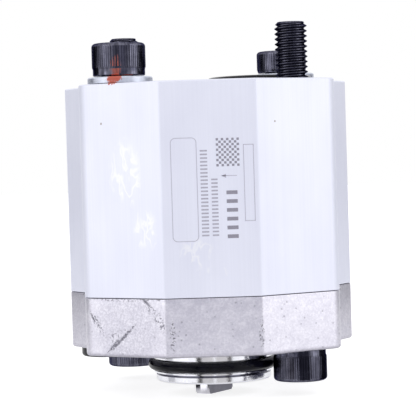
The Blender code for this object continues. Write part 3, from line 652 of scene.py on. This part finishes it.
# Level faces get the second material slot
def paintLevelFaces(piece, first, second):
    piece.data.materials.append(first)
    piece.data.materials.append(second)
    for face in piece.data.polygons:
        face.material_index = 1 if abs(face.normal.z) > 0.9 else 0


# Shaft axes, screw places and port, read from the frame where it shows them
def middleOf(node):
    low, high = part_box(node)
    return ((low.x + high.x) / 2, (low.y + high.y) / 2)


# A piece is named for the node that it replaces
def pieceName(node):
    first, *others = node.split("_")
    return first + "".join(word.title() for word in others)


# A piece's settings, from millimetres to metres
def inMetres(facts):
    return {key: value * mm for key, value in facts.items()}


shaftPlaces = [(0.0, 0.0), middleOf("driven_gear_shaft")]
screwNodes = [name for name in frame["nodes"] if "_screw_" in name]

bodyFacts = {"rim": 0.4, "lowRim": 0.2, "holeRadius": 4.3, "portRadius": 8.0, "portDepth": 10.5,
             "drillRadius": 4.5, "drillX": 16.0, "boreRadius": 15.4, "rearWall": 12.0,
             "grooveDepth": 1.4, "grooveOuter": 14.0, "grooveInner": 10.4,
             "dowelRadius": 2.75, "dowelDepth": 8.3, "mouth": 0.35}


def makeBody():
    facts = inMetres(bodyFacts)
    piece = makeSection("pumpBody", bodyLow.z, bodyHigh.z, facts["lowRim"], facts["rim"])
    port = middleOf("suction_port_o_ring")
    groove = spinProfile("groove", [
        (facts["grooveOuter"], bodyHigh.z + facts["rearWall"]),
        (facts["grooveOuter"], bodyHigh.z - facts["grooveDepth"]),
        (facts["grooveInner"], bodyHigh.z - facts["grooveDepth"]),
        (facts["grooveInner"], bodyHigh.z + facts["rearWall"])], port, closed=True)
    cutWith(piece, groove)
    cutWith(piece, addBar(facts["portRadius"], bodyHigh.z - facts["portDepth"],
                          bodyHigh.z + facts["rearWall"], port, 96))
    cutWith(piece, addBar(facts["drillRadius"], bodyHigh.z - facts["boreRadius"] * 2,
                          bodyHigh.z, (facts["drillX"], port[1])))
    for place in shaftPlaces:
        cutWith(piece, addBar(facts["boreRadius"], 0, bodyHigh.z - facts["rearWall"], place, 96))
    for node in screwNodes:
        cutWith(piece, addBar(facts["holeRadius"], 0, bodyHigh.z * 2, middleOf(node)))
    for node in ("locating_dowel_front", "locating_dowel_back"):
        cutWith(piece, addBar(facts["dowelRadius"], 0, bodyLow.z + facts["dowelDepth"],
                              middleOf(node), 32))
    chamferMouth(piece, port, facts["portRadius"], bodyHigh.z, facts["mouth"])
    for node in screwNodes:
        chamferMouth(piece, middleOf(node), facts["holeRadius"], bodyHigh.z, facts["mouth"])
    paintLevelFaces(piece, anodised, milled)
    piece.data.materials.append(turnedMetal)
    for face in piece.data.polygons:  # the port is bored after the body is anodised
        across = math.hypot(face.center.x - port[0], face.center.y - port[1])
        inPort = across < facts["portRadius"] + facts["mouth"]
        if inPort and face.center.z < bodyHigh.z - 0.01 * mm:
            face.material_index = 2
    finishPiece(piece, None, "housing", ["pump_body"])


makeBody()

flangeFacts = {"rim": 0.75, "topRim": 0.15, "thickness": 14.0, "pilotRadius": 15.0,
               "pilotWaist": 13.53, "pilotEnd": 14.4, "grooveTop": 2.64, "grooveLow": 5.76,
               "land": 6.1, "undercut": 13.3, "taper": 6.72, "chamfer": 0.4, "bottom": 8.3, "shaftBore": 6.6,
               "sealBore": 11.25, "sealTop": 0.4, "clipGroove": 12.05, "clipTop": 6.4,
               "clipLow": 7.75, "holeRadius": 4.3, "portRadius": 4.85, "portDepth": 8.0}


def makeFlange():
    facts = inMetres(flangeFacts)
    piece = makeSection("frontFlange", 0, facts["thickness"], facts["rim"], facts["topRim"])
    piece.data.materials.append(cast)
    piece.data.materials.append(turnedMetal)
    for node in screwNodes:
        cutWith(piece, addBar(facts["holeRadius"], -mm, bodyHigh.z, middleOf(node)))
    cutWith(piece, addBar(facts["portRadius"], -mm, facts["portDepth"],
                          middleOf("outlet_port_plug")))
    cutWith(piece, addBar(facts["pilotEnd"], -mm, facts["thickness"] / 2, (0, 0), 128))
    for node in ("locating_dowel_front", "locating_dowel_back"):
        cutWith(piece, addBar(bodyFacts["dowelRadius"] * mm,
                              bodyLow.z - bodyFacts["dowelDepth"] * mm, bodyHigh.z,
                              middleOf(node), 32))
    pilot = spinProfile("pilot", [
        (facts["shaftBore"], facts["thickness"] / 2 + mm),
        (facts["pilotEnd"] + 0.2 * mm, facts["thickness"] / 2 + mm),
        (facts["pilotEnd"] + 0.2 * mm, 0.3 * mm),
        *arcPoints((facts["pilotRadius"] + 0.5 * mm, -0.5 * mm), 0.5 * mm, 90, 180, 4),
        (facts["pilotRadius"], -facts["grooveTop"]), (facts["pilotWaist"], -facts["grooveTop"]),
        (facts["pilotWaist"], -facts["grooveLow"]), (facts["pilotRadius"], -facts["grooveLow"]),
        (facts["pilotRadius"], -facts["land"]), (facts["undercut"], -facts["land"]),
        (facts["undercut"], 0.1 * mm - facts["taper"]), (facts["pilotEnd"], -facts["taper"]),
        (facts["pilotEnd"], facts["chamfer"] - facts["bottom"]),
        (facts["pilotEnd"] - facts["chamfer"], -facts["bottom"]),
        (facts["sealBore"] + facts["chamfer"], -facts["bottom"]),
        (facts["sealBore"], facts["chamfer"] - facts["bottom"]),
        (facts["sealBore"], -facts["clipLow"]), (facts["clipGroove"], -facts["clipLow"]),
        (facts["clipGroove"], -facts["clipTop"]), (facts["sealBore"], -facts["clipTop"]),
        (facts["sealBore"], -facts["sealTop"]), (facts["shaftBore"], -facts["sealTop"]),
    ], (0, 0), 128, closed=True)
    pilot.data.materials.append(turnedMetal)
    cutWith(piece, addBar(facts["shaftBore"], -mm, bodyHigh.z, (0, 0), 96))
    cutWith(piece, pilot, "UNION")
    for face in piece.data.polygons:
        reach = math.hypot(face.center.x, face.center.y)
        onPilot = reach < facts["pilotRadius"] + 0.6 * mm
        face.material_index = 1 if onPilot and face.center.z < facts["thickness"] / 2 else 0
    chamferMouth(piece, middleOf("outlet_port_plug"), facts["portRadius"], 0, 0.3 * mm)
    finishPiece(piece, None, "housing", ["front_flange"])


makeFlange()
print("housing made")

# Socket head cap screws, in millimetres from the seat; the thread is a true helix
screwFacts = {
    "headRadius": 6.6, "collarRadius": 6.42, "knurlEnd": 0.55, "rim": 0.9,
    "ridges": 66, "columns": 4, "ridgeDepth": 0.045, "socketFlats": 6.0, "socketShare": 0.55,
    "shank": 3.93, "threadCore": 3.28, "threadTop": 3.98, "pitch": 1.25, "threadLength": 28.0,
    "crestFlat": 0.16, "rootFlat": 0.2, "tipChamfer": 0.8,
}


# The threaded end, from the run-out at low to the chamfered tip at high
def makeThread(low, high):
    facts = inMetres(screwFacts)
    pitch = facts["pitch"]
    slope = (pitch - facts["crestFlat"] - facts["rootFlat"]) / 2
    points = [Vector(point) for point in (
        (facts["threadCore"], 0, 0), (facts["threadCore"], 0, facts["rootFlat"]),
        (facts["threadTop"], 0, facts["rootFlat"] + slope),
        (facts["threadTop"], 0, facts["rootFlat"] + slope + facts["crestFlat"]),
        (facts["threadCore"], 0, pitch))]
    thread = drawLine("thread", points)
    leaveEdit()
    turns = math.ceil((high - low) / pitch) + 2
    applyModifier(thread, "SCREW", steps=40, render_steps=40, screw_offset=pitch,
                  iterations=turns, use_merge_vertices=True, merge_threshold=0.001 * mm)
    edit(thread)
    bpy.ops.mesh.select_all(action="SELECT")
    bpy.ops.mesh.remove_doubles(threshold=0.001 * mm)
    bpy.ops.mesh.fill_holes(sides=0)
    faceOutwards()
    bpy.ops.transform.translate(value=(0, 0, low - pitch))
    leaveEdit()
    wide = facts["threadTop"] + 0.2 * mm
    bar = spinProfile("bar", [
        (0, high), (facts["threadTop"] - facts["tipChamfer"], high),
        (wide, high - facts["tipChamfer"] - 0.2 * mm), (wide, low), (0, low)], steps=64)
    cutWith(thread, bar, "INTERSECT")
    return thread


# A screw along +Z with its head below Z = 0 and its tip at length
def makeScrewShape(length, headHeight, collarHeight):
    facts = inMetres(screwFacts)
    columns = screwFacts["ridges"] * screwFacts["columns"]
    head, collar, rim = facts["headRadius"], facts["collarRadius"], facts["rim"]
    knurlEnd = -collarHeight - facts["knurlEnd"]
    piece = spinProfile("capScrew", [
        (0, -headHeight), *arcPoints((head - rim, rim - headHeight), rim, 270, 360, 5),
        (head, knurlEnd), (collar, -collarHeight), (collar, -0.2 * mm),
        (collar - 0.2 * mm, 0), (facts["shank"] + 0.5 * mm, 0), (facts["shank"], 0.5 * mm),
        (facts["shank"], length - facts["threadLength"]),
        (facts["threadCore"], length - facts["threadLength"] + 0.6 * mm),
        (0, length - facts["threadLength"] + 0.6 * mm)], steps=columns)

    # one column in four sinks between its neighbours and so leaves a ridge
    def inGroove(vert):
        across = math.hypot(vert.co.x, vert.co.y)
        column = round(math.atan2(vert.co.y, vert.co.x) / (2 * math.pi) * columns)
        return abs(across - head) < 0.01 * mm and column % screwFacts["columns"] == 0

    edit(piece)
    pick(piece, "verts", inGroove)
    inward = (head - facts["ridgeDepth"]) / head
    bpy.ops.transform.resize(value=(inward, inward, 1), center_override=(0, 0, 0))
    leaveEdit()
    corner = facts["socketFlats"] / 2 / math.cos(math.radians(30))
    depth = screwFacts["socketShare"] * headHeight
    cutWith(piece, addBar(corner, -headHeight - mm, depth - headHeight, (0, 0), 6))
    cone = spinProfile("mouth", [
        (0, 0.6 * mm - headHeight), (corner - 0.4 * mm, 0.4 * mm - headHeight),
        (corner + 0.3 * mm, -0.3 * mm - headHeight), (0, -0.3 * mm - headHeight)], steps=48)
    cutWith(piece, cone)
    cutWith(piece, makeThread(length - facts["threadLength"], length), "UNION")
    return piece


# Each screw's length under the head and its smooth collar; the frame gives the rest
screws = {
    "assembly_screw_front_left": {"length": 65, "collar": 1.6, "headUp": True,
                                  "finish": blackOxideMarked},
    "assembly_screw_back_right": {"length": 65, "collar": 0.4, "headUp": True,
                                  "finish": blackOxide},
    "mounting_screw_front_right": {"length": 80, "collar": 1.6, "headUp": False,
                                   "finish": blackOxide},
    "mounting_screw_back_left": {"length": 80, "collar": 1.6, "headUp": False,
                                 "finish": blackOxide},
}


def makeScrews():
    facts = inMetres(screwFacts)
    for node, kind in screws.items():
        low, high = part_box(node)
        length, collar = kind["length"] * mm, kind["collar"] * mm
        headHeight = high.z - low.z - length
        screw = makeScrewShape(length, headHeight, collar)
        screw.name = pieceName(node)
        for finish in (kind["finish"], wornOxide, oiledShadedOxide, shadedGrooveOxide):
            screw.data.materials.append(finish)
        knurlLow, knurlHigh = facts["rim"] - headHeight, -collar - facts["knurlEnd"]
        for face in screw.data.polygons:
            across = math.hypot(*face.center.xy)
            atKnurlEnd = -facts["knurlEnd"] < face.center.z + collar < 0
            onRidge = across > facts["collarRadius"] + 0.02 * mm
            onThread = face.center.z > length - facts["threadLength"]
            inGroove = (knurlLow < face.center.z < knurlHigh
                        and facts["collarRadius"] < across < facts["headRadius"] - 0.01 * mm)
            face.material_index = (1 if atKnurlEnd and onRidge else 2 if onThread
                                   else 3 if inGroove else 0)
        if kind["headUp"]:
            edit(screw)
            bpy.ops.mesh.select_all(action="SELECT")
            bpy.ops.transform.rotate(value=math.pi, orient_axis="X", center_override=(0, 0, 0))
            leaveEdit()
        seat = high.z - headHeight if kind["headUp"] else low.z + headHeight
        screw.location = (*middleOf(node), seat)
        finishPiece(screw, None, "housing", [node], 28)


makeScrews()

# Stamped washers: the punch side is rounded, the other side keeps a small burr
washerFacts = {"roll": 0.45, "burr": 0.08,
               "holes": {"washer_front_left": 4.5, "washer_back_right": 4.9}}


def makeWashers():
    for node, hole in washerFacts["holes"].items():
        low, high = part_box(node)
        radius, hole = (high.x - low.x) / 2, hole * mm
        roll, burr = washerFacts["roll"] * mm, washerFacts["burr"] * mm
        piece = spinProfile(pieceName(node), [
            *arcPoints((radius - roll, high.z - roll), roll, 90, 0, 4),
            (radius, low.z + burr), (radius - burr, low.z), (hole + burr, low.z),
            (hole, low.z + burr), *arcPoints((hole + roll, high.z - roll), roll, 180, 90, 4),
        ], middleOf(node), 96, closed=True)
        finishPiece(piece, zinc, "housing", [node])


makeWashers()

# Moulded O-rings: round section with a fine flash line on the outside and inside
ringFacts = {"flash": 0.05}


def makeRings():
    for node, name in (("pilot_o_ring", "pilotRing"), ("suction_port_o_ring", "suctionRing")):
        low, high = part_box(node)
        cord = (high.z - low.z) / 2
        centreRadius = (high.x - low.x) / 2 - cord
        place = middleOf(node)
        deselectAll()
        bpy.ops.mesh.primitive_torus_add(
            major_segments=144, minor_segments=28, major_radius=centreRadius,
            minor_radius=cord, location=(*place, (low.z + high.z) / 2))
        piece = bpy.context.object
        piece.name = name
        edit(piece)
        for side, limit in ((1, centreRadius + cord * 0.999), (-1, centreRadius - cord * 0.999)):
            pick(piece, "verts", lambda vert: side * math.hypot(vert.co.x, vert.co.y)
                 > side * limit)
            grow = 1 + side * ringFacts["flash"] * mm / limit
            bpy.ops.transform.resize(value=(grow, grow, 1),
                                     center_override=(*place, (low.z + high.z) / 2))
        leaveEdit()
        finishPiece(piece, rubber, "housing", [node], 70)


makeRings()

plugFacts = {"stem": 4.6, "wall": 1.2, "edge": 0.8, "recess": 1.2,
             "recessRadius": 4.6, "rib": 0.35}


def makePlug():
    facts = inMetres(plugFacts)
    low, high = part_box("outlet_port_plug")
    radius = (high.x - low.x) / 2
    piece = spinProfile("outletPlug", [
        (0, 0.5 * mm), (facts["stem"] - facts["wall"], 0.5 * mm),
        (facts["stem"] - facts["wall"], high.z),
        *arcPoints((facts["stem"] - 0.5 * mm, high.z - 0.5 * mm), 0.5 * mm, 90, 0, 3),
        (facts["stem"], 3.4 * mm), (facts["stem"] + facts["rib"] / 2, 3.0 * mm),
        (facts["stem"], 2.6 * mm), (facts["stem"], -0.3 * mm), (radius - 0.3 * mm, -0.3 * mm),
        (radius, -0.6 * mm),
        *arcPoints((radius - facts["edge"], low.z + facts["edge"]), facts["edge"], 0, -90, 5),
        (facts["recessRadius"] + 0.4 * mm, low.z),
        (facts["recessRadius"], low.z + 0.4 * mm),
        (facts["recessRadius"] - 0.3 * mm, low.z + facts["recess"]),
        (0, low.z + facts["recess"])], middleOf("outlet_port_plug"), 96)
    finishPiece(piece, plugPlastic, "housing", ["outlet_port_plug"])


makePlug()
print("screws, washers, rings and plug made")

# Drive shaft: the gear and journals are the frame's own, and the end with the tang is new
shaftFacts = {"cut": 8.0, "endRadius": 6.0, "edge": 0.6, "tangThickness": 4.0,
              "tangLength": 5.5, "tangAngle": 58.0, "root": 0.5}


def makeDriveShaft():
    facts = inMetres(shaftFacts)
    low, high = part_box("drive_gear_shaft")
    node = frame["nodes"]["drive_gear_shaft"]
    activate(node)
    bpy.ops.object.duplicate()
    piece = bpy.context.object
    piece.data = piece.data.copy()
    piece.parent = None
    piece.name = "driveShaft"
    for key in list(piece.keys()):
        if key.startswith("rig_"):
            del piece[key]
    edit(piece)
    bpy.ops.mesh.select_all(action="SELECT")
    bpy.ops.mesh.remove_doubles(threshold=0.001 * mm)
    bpy.ops.mesh.select_all(action="SELECT")
    bpy.ops.mesh.bisect(plane_co=(0, 0, facts["cut"]), plane_no=(0, 0, 1), clear_inner=True,
                        use_fill=True)
    faceOutwards()
    leaveEdit()
    edge = facts["edge"]
    end = spinProfile("shaftEnd", [
        (0, facts["cut"] + mm), (facts["endRadius"], facts["cut"] + mm),
        (facts["endRadius"], low.z + edge), (facts["endRadius"] - edge, low.z),
        (0, low.z)], steps=96)
    angle = math.radians(shaftFacts["tangAngle"])
    across = Vector((-math.sin(angle), math.cos(angle), 0))
    for side in (-1, 1):
        offset = facts["tangThickness"] / 2 + facts["endRadius"]
        deselectAll()
        bpy.ops.mesh.primitive_cube_add(size=1, location=across * offset * side
                                        + Vector((0, 0, low.z)), rotation=(0, 0, angle),
                                        scale=(4 * facts["endRadius"], 2 * facts["endRadius"],
                                               2 * facts["tangLength"]))
        flat = bpy.context.object
        activate(flat)
        bpy.ops.object.transform_apply(location=False, rotation=False, scale=True)
        edit(flat)
        bpy.ops.mesh.select_all(action="SELECT")
        bpy.ops.mesh.bevel(offset=facts["root"], segments=3, affect="EDGES")
        leaveEdit()
        cutWith(end, flat)
    cutWith(piece, end, "UNION")
    piece.data.materials.clear()
    piece.data.materials.append(groundSteel)
    piece.data.materials.append(milledShadedSteel)
    # the flats take the darker steel, partly painted shade
    for face in piece.data.polygons:
        onFlat = (abs(face.center.xy.dot(across.xy)) < facts["tangThickness"] / 2 + 0.01 * mm
                  and abs(face.normal.dot(across)) > 0.9)
        face.material_index = 1 if onFlat and face.center.z < low.z + facts["tangLength"] else 0
    finishPiece(piece, None, "drive_shaft", ["drive_gear_shaft"], 25)


makeDriveShaft()

# Lip seal, and the circlip that holds it: both show from below
sealFacts = {"radius": 11.0, "top": -0.65, "low": -6.25, "lip": 6.1, "back": 7.6,
             "wall": 1.1, "lipTop": -1.75, "lipEdge": -4.0}


def makeLipSeal():
    facts = inMetres(sealFacts)
    floor = facts["low"] + facts["wall"]
    piece = spinProfile("lipSeal", [
        (facts["radius"], facts["top"]), (facts["radius"], facts["low"] + 0.3 * mm),
        (facts["radius"] - 0.3 * mm, facts["low"]), (facts["radius"] - 1.8 * mm, facts["low"]),
        (facts["radius"] - 2.1 * mm, facts["low"] + 0.35 * mm),
        (facts["back"] + 0.7 * mm, facts["low"] + 0.35 * mm),
        (facts["back"] - 0.1 * mm, facts["low"]), (facts["lip"] + 1.0 * mm, facts["low"]),
        (facts["lip"], facts["lipEdge"]), (facts["lip"] + 0.5 * mm, facts["lipTop"]),
        (facts["back"], facts["lipTop"]), (facts["back"], floor + 0.45 * mm),
        (facts["back"] + 0.45 * mm, floor), (facts["radius"] - facts["wall"], floor),
        (facts["radius"] - facts["wall"], facts["top"])], (0, 0), 96, closed=True)
    finishPiece(piece, rubber, "housing", ["shaft_lip_seal"], 40)


makeLipSeal()

clipFacts = {"radius": 11.75, "width": 1.7, "gap": 8.0, "earTurn": 15.0, "earReach": 2.6,
             "earHole": 0.65, "edge": 0.12}


def makeClip():
    facts = inMetres(clipFacts)
    low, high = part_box("seal_retaining_ring")
    outer, inner = facts["radius"], facts["radius"] - facts["width"]
    earEnd = inner - facts["earReach"]
    gap, ear = clipFacts["gap"], clipFacts["earTurn"]
    # one radial edge is spun to an open ring, and its ends grow inwards into the ears
    first = Vector((inner * math.cos(math.radians(gap)), inner * math.sin(math.radians(gap)),
                    low.z))
    reach = Vector((first.x, first.y, 0)) * (outer / inner - 1)
    piece = drawLine("retainingRing", [first, first + reach])
    bpy.ops.mesh.select_all(action="SELECT")
    bpy.ops.mesh.spin(steps=172, angle=math.radians(360 - 2 * gap), center=(0, 0, low.z),
                      axis=(0, 0, 1))
    # an edge of the inner rim that lies within the ears' turn from the gap
    def onEarRoot(edge):
        middle = (edge.verts[0].co + edge.verts[1].co) / 2
        onRim = all(abs(math.hypot(*vert.co.xy) - inner) < 0.01 * mm for vert in edge.verts)
        return onRim and abs(math.degrees(math.atan2(middle.y, middle.x))) < gap + ear

    pick(piece, "edges", onEarRoot)
    bpy.ops.mesh.extrude_edges_move(TRANSFORM_OT_translate={"value": (0, 0, 0)})
    bpy.ops.transform.resize(value=(earEnd / inner, earEnd / inner, 1),
                             center_override=(0, 0, low.z))
    bpy.ops.mesh.select_all(action="SELECT")
    bpy.ops.mesh.extrude_region_move(TRANSFORM_OT_translate={"value": (0, 0, high.z - low.z)})
    faceOutwards()
    leaveEdit()
    for side in (-1, 1):
        turn = side * math.radians(gap + ear / 2)
        spot = (outer + earEnd) / 2 - facts["earHole"]
        cutWith(piece, addBar(facts["earHole"], low.z - mm, high.z + mm,
                              (spot * math.cos(turn), spot * math.sin(turn)), 24))
    applyModifier(piece, "BEVEL", width=facts["edge"], segments=2, limit_method="ANGLE",
                  angle_limit=math.radians(60))
    finishPiece(piece, springSteel, "housing", ["seal_retaining_ring"], 40)


makeClip()
print("shaft end, seal and clip made")

# Printed marks on the front facet: blank frames, a plain arrow, a checker and plain bars.
# Each is an ink film a few hundredths thick; sizes and places are in millimetres.
markFacts = {
    "film": 0.03, "line": 0.18, "barShare": 0.42,
    "badge": {"x": (-9.14, -2.93), "z": (27.4, 51.9), "round": 1.2, "ink": "faint"},
    "thin": {"x": (8.0, 10.5), "z": (31.9, 50.0), "round": 0.05, "ink": "faint"},
    "checker": {"x": (1.6, 7.1), "z": (44.9, 51.6), "columns": 9, "rows": 11, "gap": 0.03,
                "ink": "dense"},
    "arrow": {"x": (2.8, 6.4), "z": 42.7, "head": 1.0, "ink": "faint"},
    "bars": [{"x": (-2.2, -0.5), "z": (28.6, 49.4), "count": 24, "ink": "plain"},
             {"x": (0.3, 1.8), "z": (28.6, 42.6), "count": 16, "ink": "plain"},
             {"x": (3.8, 6.4), "z": (28.0, 40.4), "count": 6, "ink": "dense"}],
}


def faceAt(depth):
    return bodyLow.y - depth * mm


def addPlate(name, xs, zs):
    deselectAll()
    bpy.ops.mesh.primitive_plane_add(
        size=1, rotation=(math.radians(90), 0, 0),
        location=((xs[0] + xs[1]) * mm / 2, faceAt(0.0), (zs[0] + zs[1]) * mm / 2))
    piece = bpy.context.object
    piece.scale = ((xs[1] - xs[0]) * mm, (zs[1] - zs[0]) * mm, 1)
    piece.name = name
    activate(piece)
    bpy.ops.object.transform_apply(location=True, rotation=True, scale=True)
    return piece


def makeFrameMark(name, facts):
    piece = addPlate(name, facts["x"], facts["z"])
    edit(piece)
    pick(piece, "verts", lambda vert: True)
    bpy.ops.mesh.bevel(offset=facts["round"] * mm, segments=5, affect="VERTICES")
    pick(piece, "faces", lambda face: True)
    bpy.ops.mesh.inset(thickness=markFacts["line"] * mm)
    bpy.ops.mesh.delete(type="FACE")
    leaveEdit()
    return piece


def makeBars(name, facts):
    low, high = facts["z"]
    step = (high - low) / facts["count"]
    inked = step * markFacts["barShare"]
    return joinPieces([addPlate(name, facts["x"], (low + step * row, low + step * row + inked))
                       for row in range(facts["count"])])


# Alternate cells of a grid, each drawn in a little so that the corners don't touch
def makeChecker(name, facts):
    columns, rows = facts["columns"], facts["rows"]
    deselectAll()
    bpy.ops.mesh.primitive_grid_add(
        x_subdivisions=columns, y_subdivisions=rows, size=1, rotation=(math.radians(90), 0, 0),
        location=(sum(facts["x"]) * mm / 2, faceAt(0.0), sum(facts["z"]) * mm / 2))
    piece = bpy.context.object
    piece.name = name
    piece.scale = ((facts["x"][1] - facts["x"][0]) * mm, (facts["z"][1] - facts["z"][0]) * mm, 1)
    activate(piece)
    bpy.ops.object.transform_apply(location=True, rotation=True, scale=True)

    def isBlank(face):
        middle = face.calc_center_median()
        column = (middle.x / mm - facts["x"][0]) / (facts["x"][1] - facts["x"][0]) * columns
        row = (middle.z / mm - facts["z"][0]) / (facts["z"][1] - facts["z"][0]) * rows
        return (math.floor(column) + math.floor(row)) % 2 == 1

    edit(piece)
    pick(piece, "faces", isBlank)
    bpy.ops.mesh.delete(type="FACE")
    bpy.ops.mesh.select_all(action="SELECT")
    bpy.ops.mesh.inset(thickness=facts["gap"] * mm, use_individual=True)
    bpy.ops.mesh.select_all(action="INVERT")
    bpy.ops.mesh.delete(type="FACE")
    leaveEdit()
    return piece


def makeArrow(name, facts):
    piece = addPlate(name, facts["x"], (facts["z"] - markFacts["line"] / 2,
                                       facts["z"] + markFacts["line"] / 2))
    tip = facts["x"][0]
    head = addPlate("arrowHead", (tip - 0.1, tip + facts["head"]),
                    (facts["z"] - facts["head"] / 2, facts["z"] + facts["head"] / 2))
    edit(head)
    pick(head, "verts", lambda vert: vert.co.x < tip * mm)
    bpy.ops.mesh.merge(type="CENTER")
    leaveEdit()
    return joinPieces([piece, head])


def makeMarks():
    makers = [(makeFrameMark, "markBadge", markFacts["badge"]),
              (makeFrameMark, "markThinFrame", markFacts["thin"]),
              (makeChecker, "markChecker", markFacts["checker"]),
              (makeArrow, "markArrow", markFacts["arrow"])]
    makers += [(makeBars, f"markBars{index + 1}", facts)
               for index, facts in enumerate(markFacts["bars"])]
    for make, name, facts in makers:
        piece = make(name, facts)
        edit(piece)
        bpy.ops.mesh.select_all(action="SELECT")
        bpy.ops.mesh.extrude_region_move(
            TRANSFORM_OT_translate={"value": (0, -markFacts["film"] * mm, 0)})
        faceOutwards()
        leaveEdit()
        finishPiece(piece, inks[facts["ink"]], "housing", [], 30, False)


makeMarks()
print("marks made")

# A white floor just under the shaft end, a white surround and a soft lamp on each side. Glowing cards that
# only reflections see paint into bright metal the grey, dark and white reflected bands that a studio gives
# it
stageFacts = {
    "floor": 6.0, "drop": 0.1, "level": 1.0, "floorGlow": 1.62, "floorShine": 1.15,
    "lampSize": (0.28, 0.8), "lampReach": 0.95, "lampHeight": 0.25,
    "lamps": {-58: 0.92, 66: 1.05},
    # each card's middle in millimetres, its heading, width, height, colour and strength
    "cards": [
        # round the whole pump
        ((20, -286), 4, 380, 140, "#acacb8", 1.0),
        ((270, 145), 116, 230, 140, "#34343c", 1.0),
        ((-274, 135), -114, 230, 140, "#34343c", 1.0),
        # near the pilot
        ((-4.7, -27), 0, 8.2, 11, "#cecccc", 1.0), ((5.2, -27), 0, 8.2, 11, "#cecccc", 1.0),
        ((-10.9, -27), 0, 4.0, 11, "#4a4848", 1.0), ((11.2, -27), 0, 3.5, 11, "#605c5c", 1.0),
        ((-30, -8), -90, 8.5, 11, "#c4c4c8", 1.0),
        # near the tang
        ((-15.7, -4.5), -78.5, 8, 2.8, "#202026", 1.0),
        ((-12.5, -12.5), -56, 8.8, 2.8, "#ffffff", 1.7),
        ((-6.4, -17.4), -17.5, 5.6, 2.8, "#060608", 1.0),
        ((13.3, 4.8), 116, 14, 2.8, "#d0d0d8", 1.0),
        # near the front screw's head
        ((22.8, -19.6), 0, 6.9, 11, "#62626c", 1.0), ((30.8, -11), 90, 7, 11, "#3c3c44", 1.0)],
}


# A point round the pump, at a heading counted from the front towards +X
def stagePoint(heading, reach, height):
    turn = math.radians(heading)
    return Vector((middleX + reach * math.sin(turn), middleY - reach * math.cos(turn), height))


def makeFloor():
    deselectAll()
    bpy.ops.mesh.primitive_plane_add(size=stageFacts["floor"],
                                     location=(0, 0, cadBox[0][2] - stageFacts["drop"] * mm))
    floor = bpy.context.object
    floor.name = "floor"
    material, tree, _ = startMaterial("whiteFloor")
    path = addNode(tree, "LightPath")
    paint = addNode(tree, "BsdfDiffuse", {"Color": "#f4f4f6"})
    strength = addNode(tree, "MapRange", {0: path.outputs["Is Camera Ray"],
                                          3: stageFacts["floorShine"],
                                          4: stageFacts["floorGlow"]})
    glow = addNode(tree, "Emission", {"Strength": strength})
    seen = addNode(tree, "Math", {0: path.outputs["Is Camera Ray"],
                                  1: path.outputs["Is Glossy Ray"]}, operation="MAXIMUM")
    seen = addNode(tree, "Math", {0: seen, 1: path.outputs["Is Transmission Ray"]},
                   operation="MAXIMUM")
    share = addNode(tree, "Math", {0: seen, 1: 0.5}, operation="MULTIPLY")
    mixed = addNode(tree, "MixShader", {0: share, 1: paint, 2: glow})
    addNode(tree, "OutputMaterial", {"Surface": mixed})
    floor.data.materials.append(material)


def makeCards():
    floorLevel = cadBox[0][2] - stageFacts["drop"] * mm
    for index, (place, turn, width, height, colour, power) in enumerate(stageFacts["cards"]):
        deselectAll()
        bpy.ops.mesh.primitive_plane_add(
            size=1, rotation=(math.radians(90), 0, math.radians(turn)),
            location=(place[0] * mm, place[1] * mm, floorLevel + height * mm / 2))
        card = bpy.context.object
        card.name = f"card{index + 1}"
        card.scale = (width * mm, height * mm, 1)
        card.visible_camera = card.visible_diffuse = card.visible_shadow = False
        material, tree, _ = startMaterial(card.name)
        card.data.materials.append(closeMaterial(material, tree, {
            "Base Color": "#000000", "Specular IOR Level": 0.0, "Emission Color": colour,
            "Emission Strength": power}))


def makeLamps():
    for index, (heading, power) in enumerate(stageFacts["lamps"].items()):
        data = bpy.data.lights.new(f"stripLamp{index + 1}", "AREA")
        data.shape = "RECTANGLE"
        data.size, data.size_y = stageFacts["lampSize"]
        data.energy = power
        lamp = bpy.data.objects.new(data.name, data)
        bpy.context.scene.collection.objects.link(lamp)
        lamp.location = stagePoint(heading, stageFacts["lampReach"], stageFacts["lampHeight"])
        aim = Vector((middleX, middleY, 0.03)) - lamp.location
        lamp.rotation_euler = aim.to_track_quat("-Z", "Y").to_euler()


def makeSurround():
    world = bpy.data.worlds.new("surround")
    bpy.context.scene.world = world
    world.use_nodes = True
    tree = world.node_tree
    tree.nodes.clear()
    back = addNode(tree, "Background", {"Color": "#ffffff", "Strength": stageFacts["level"]})
    addNode(tree, "OutputWorld", {"Surface": back})
    bpy.context.scene.view_settings.view_transform = "Standard"


makeFloor()
makeCards()
makeLamps()
makeSurround()
deselectAll()
print("stage made")
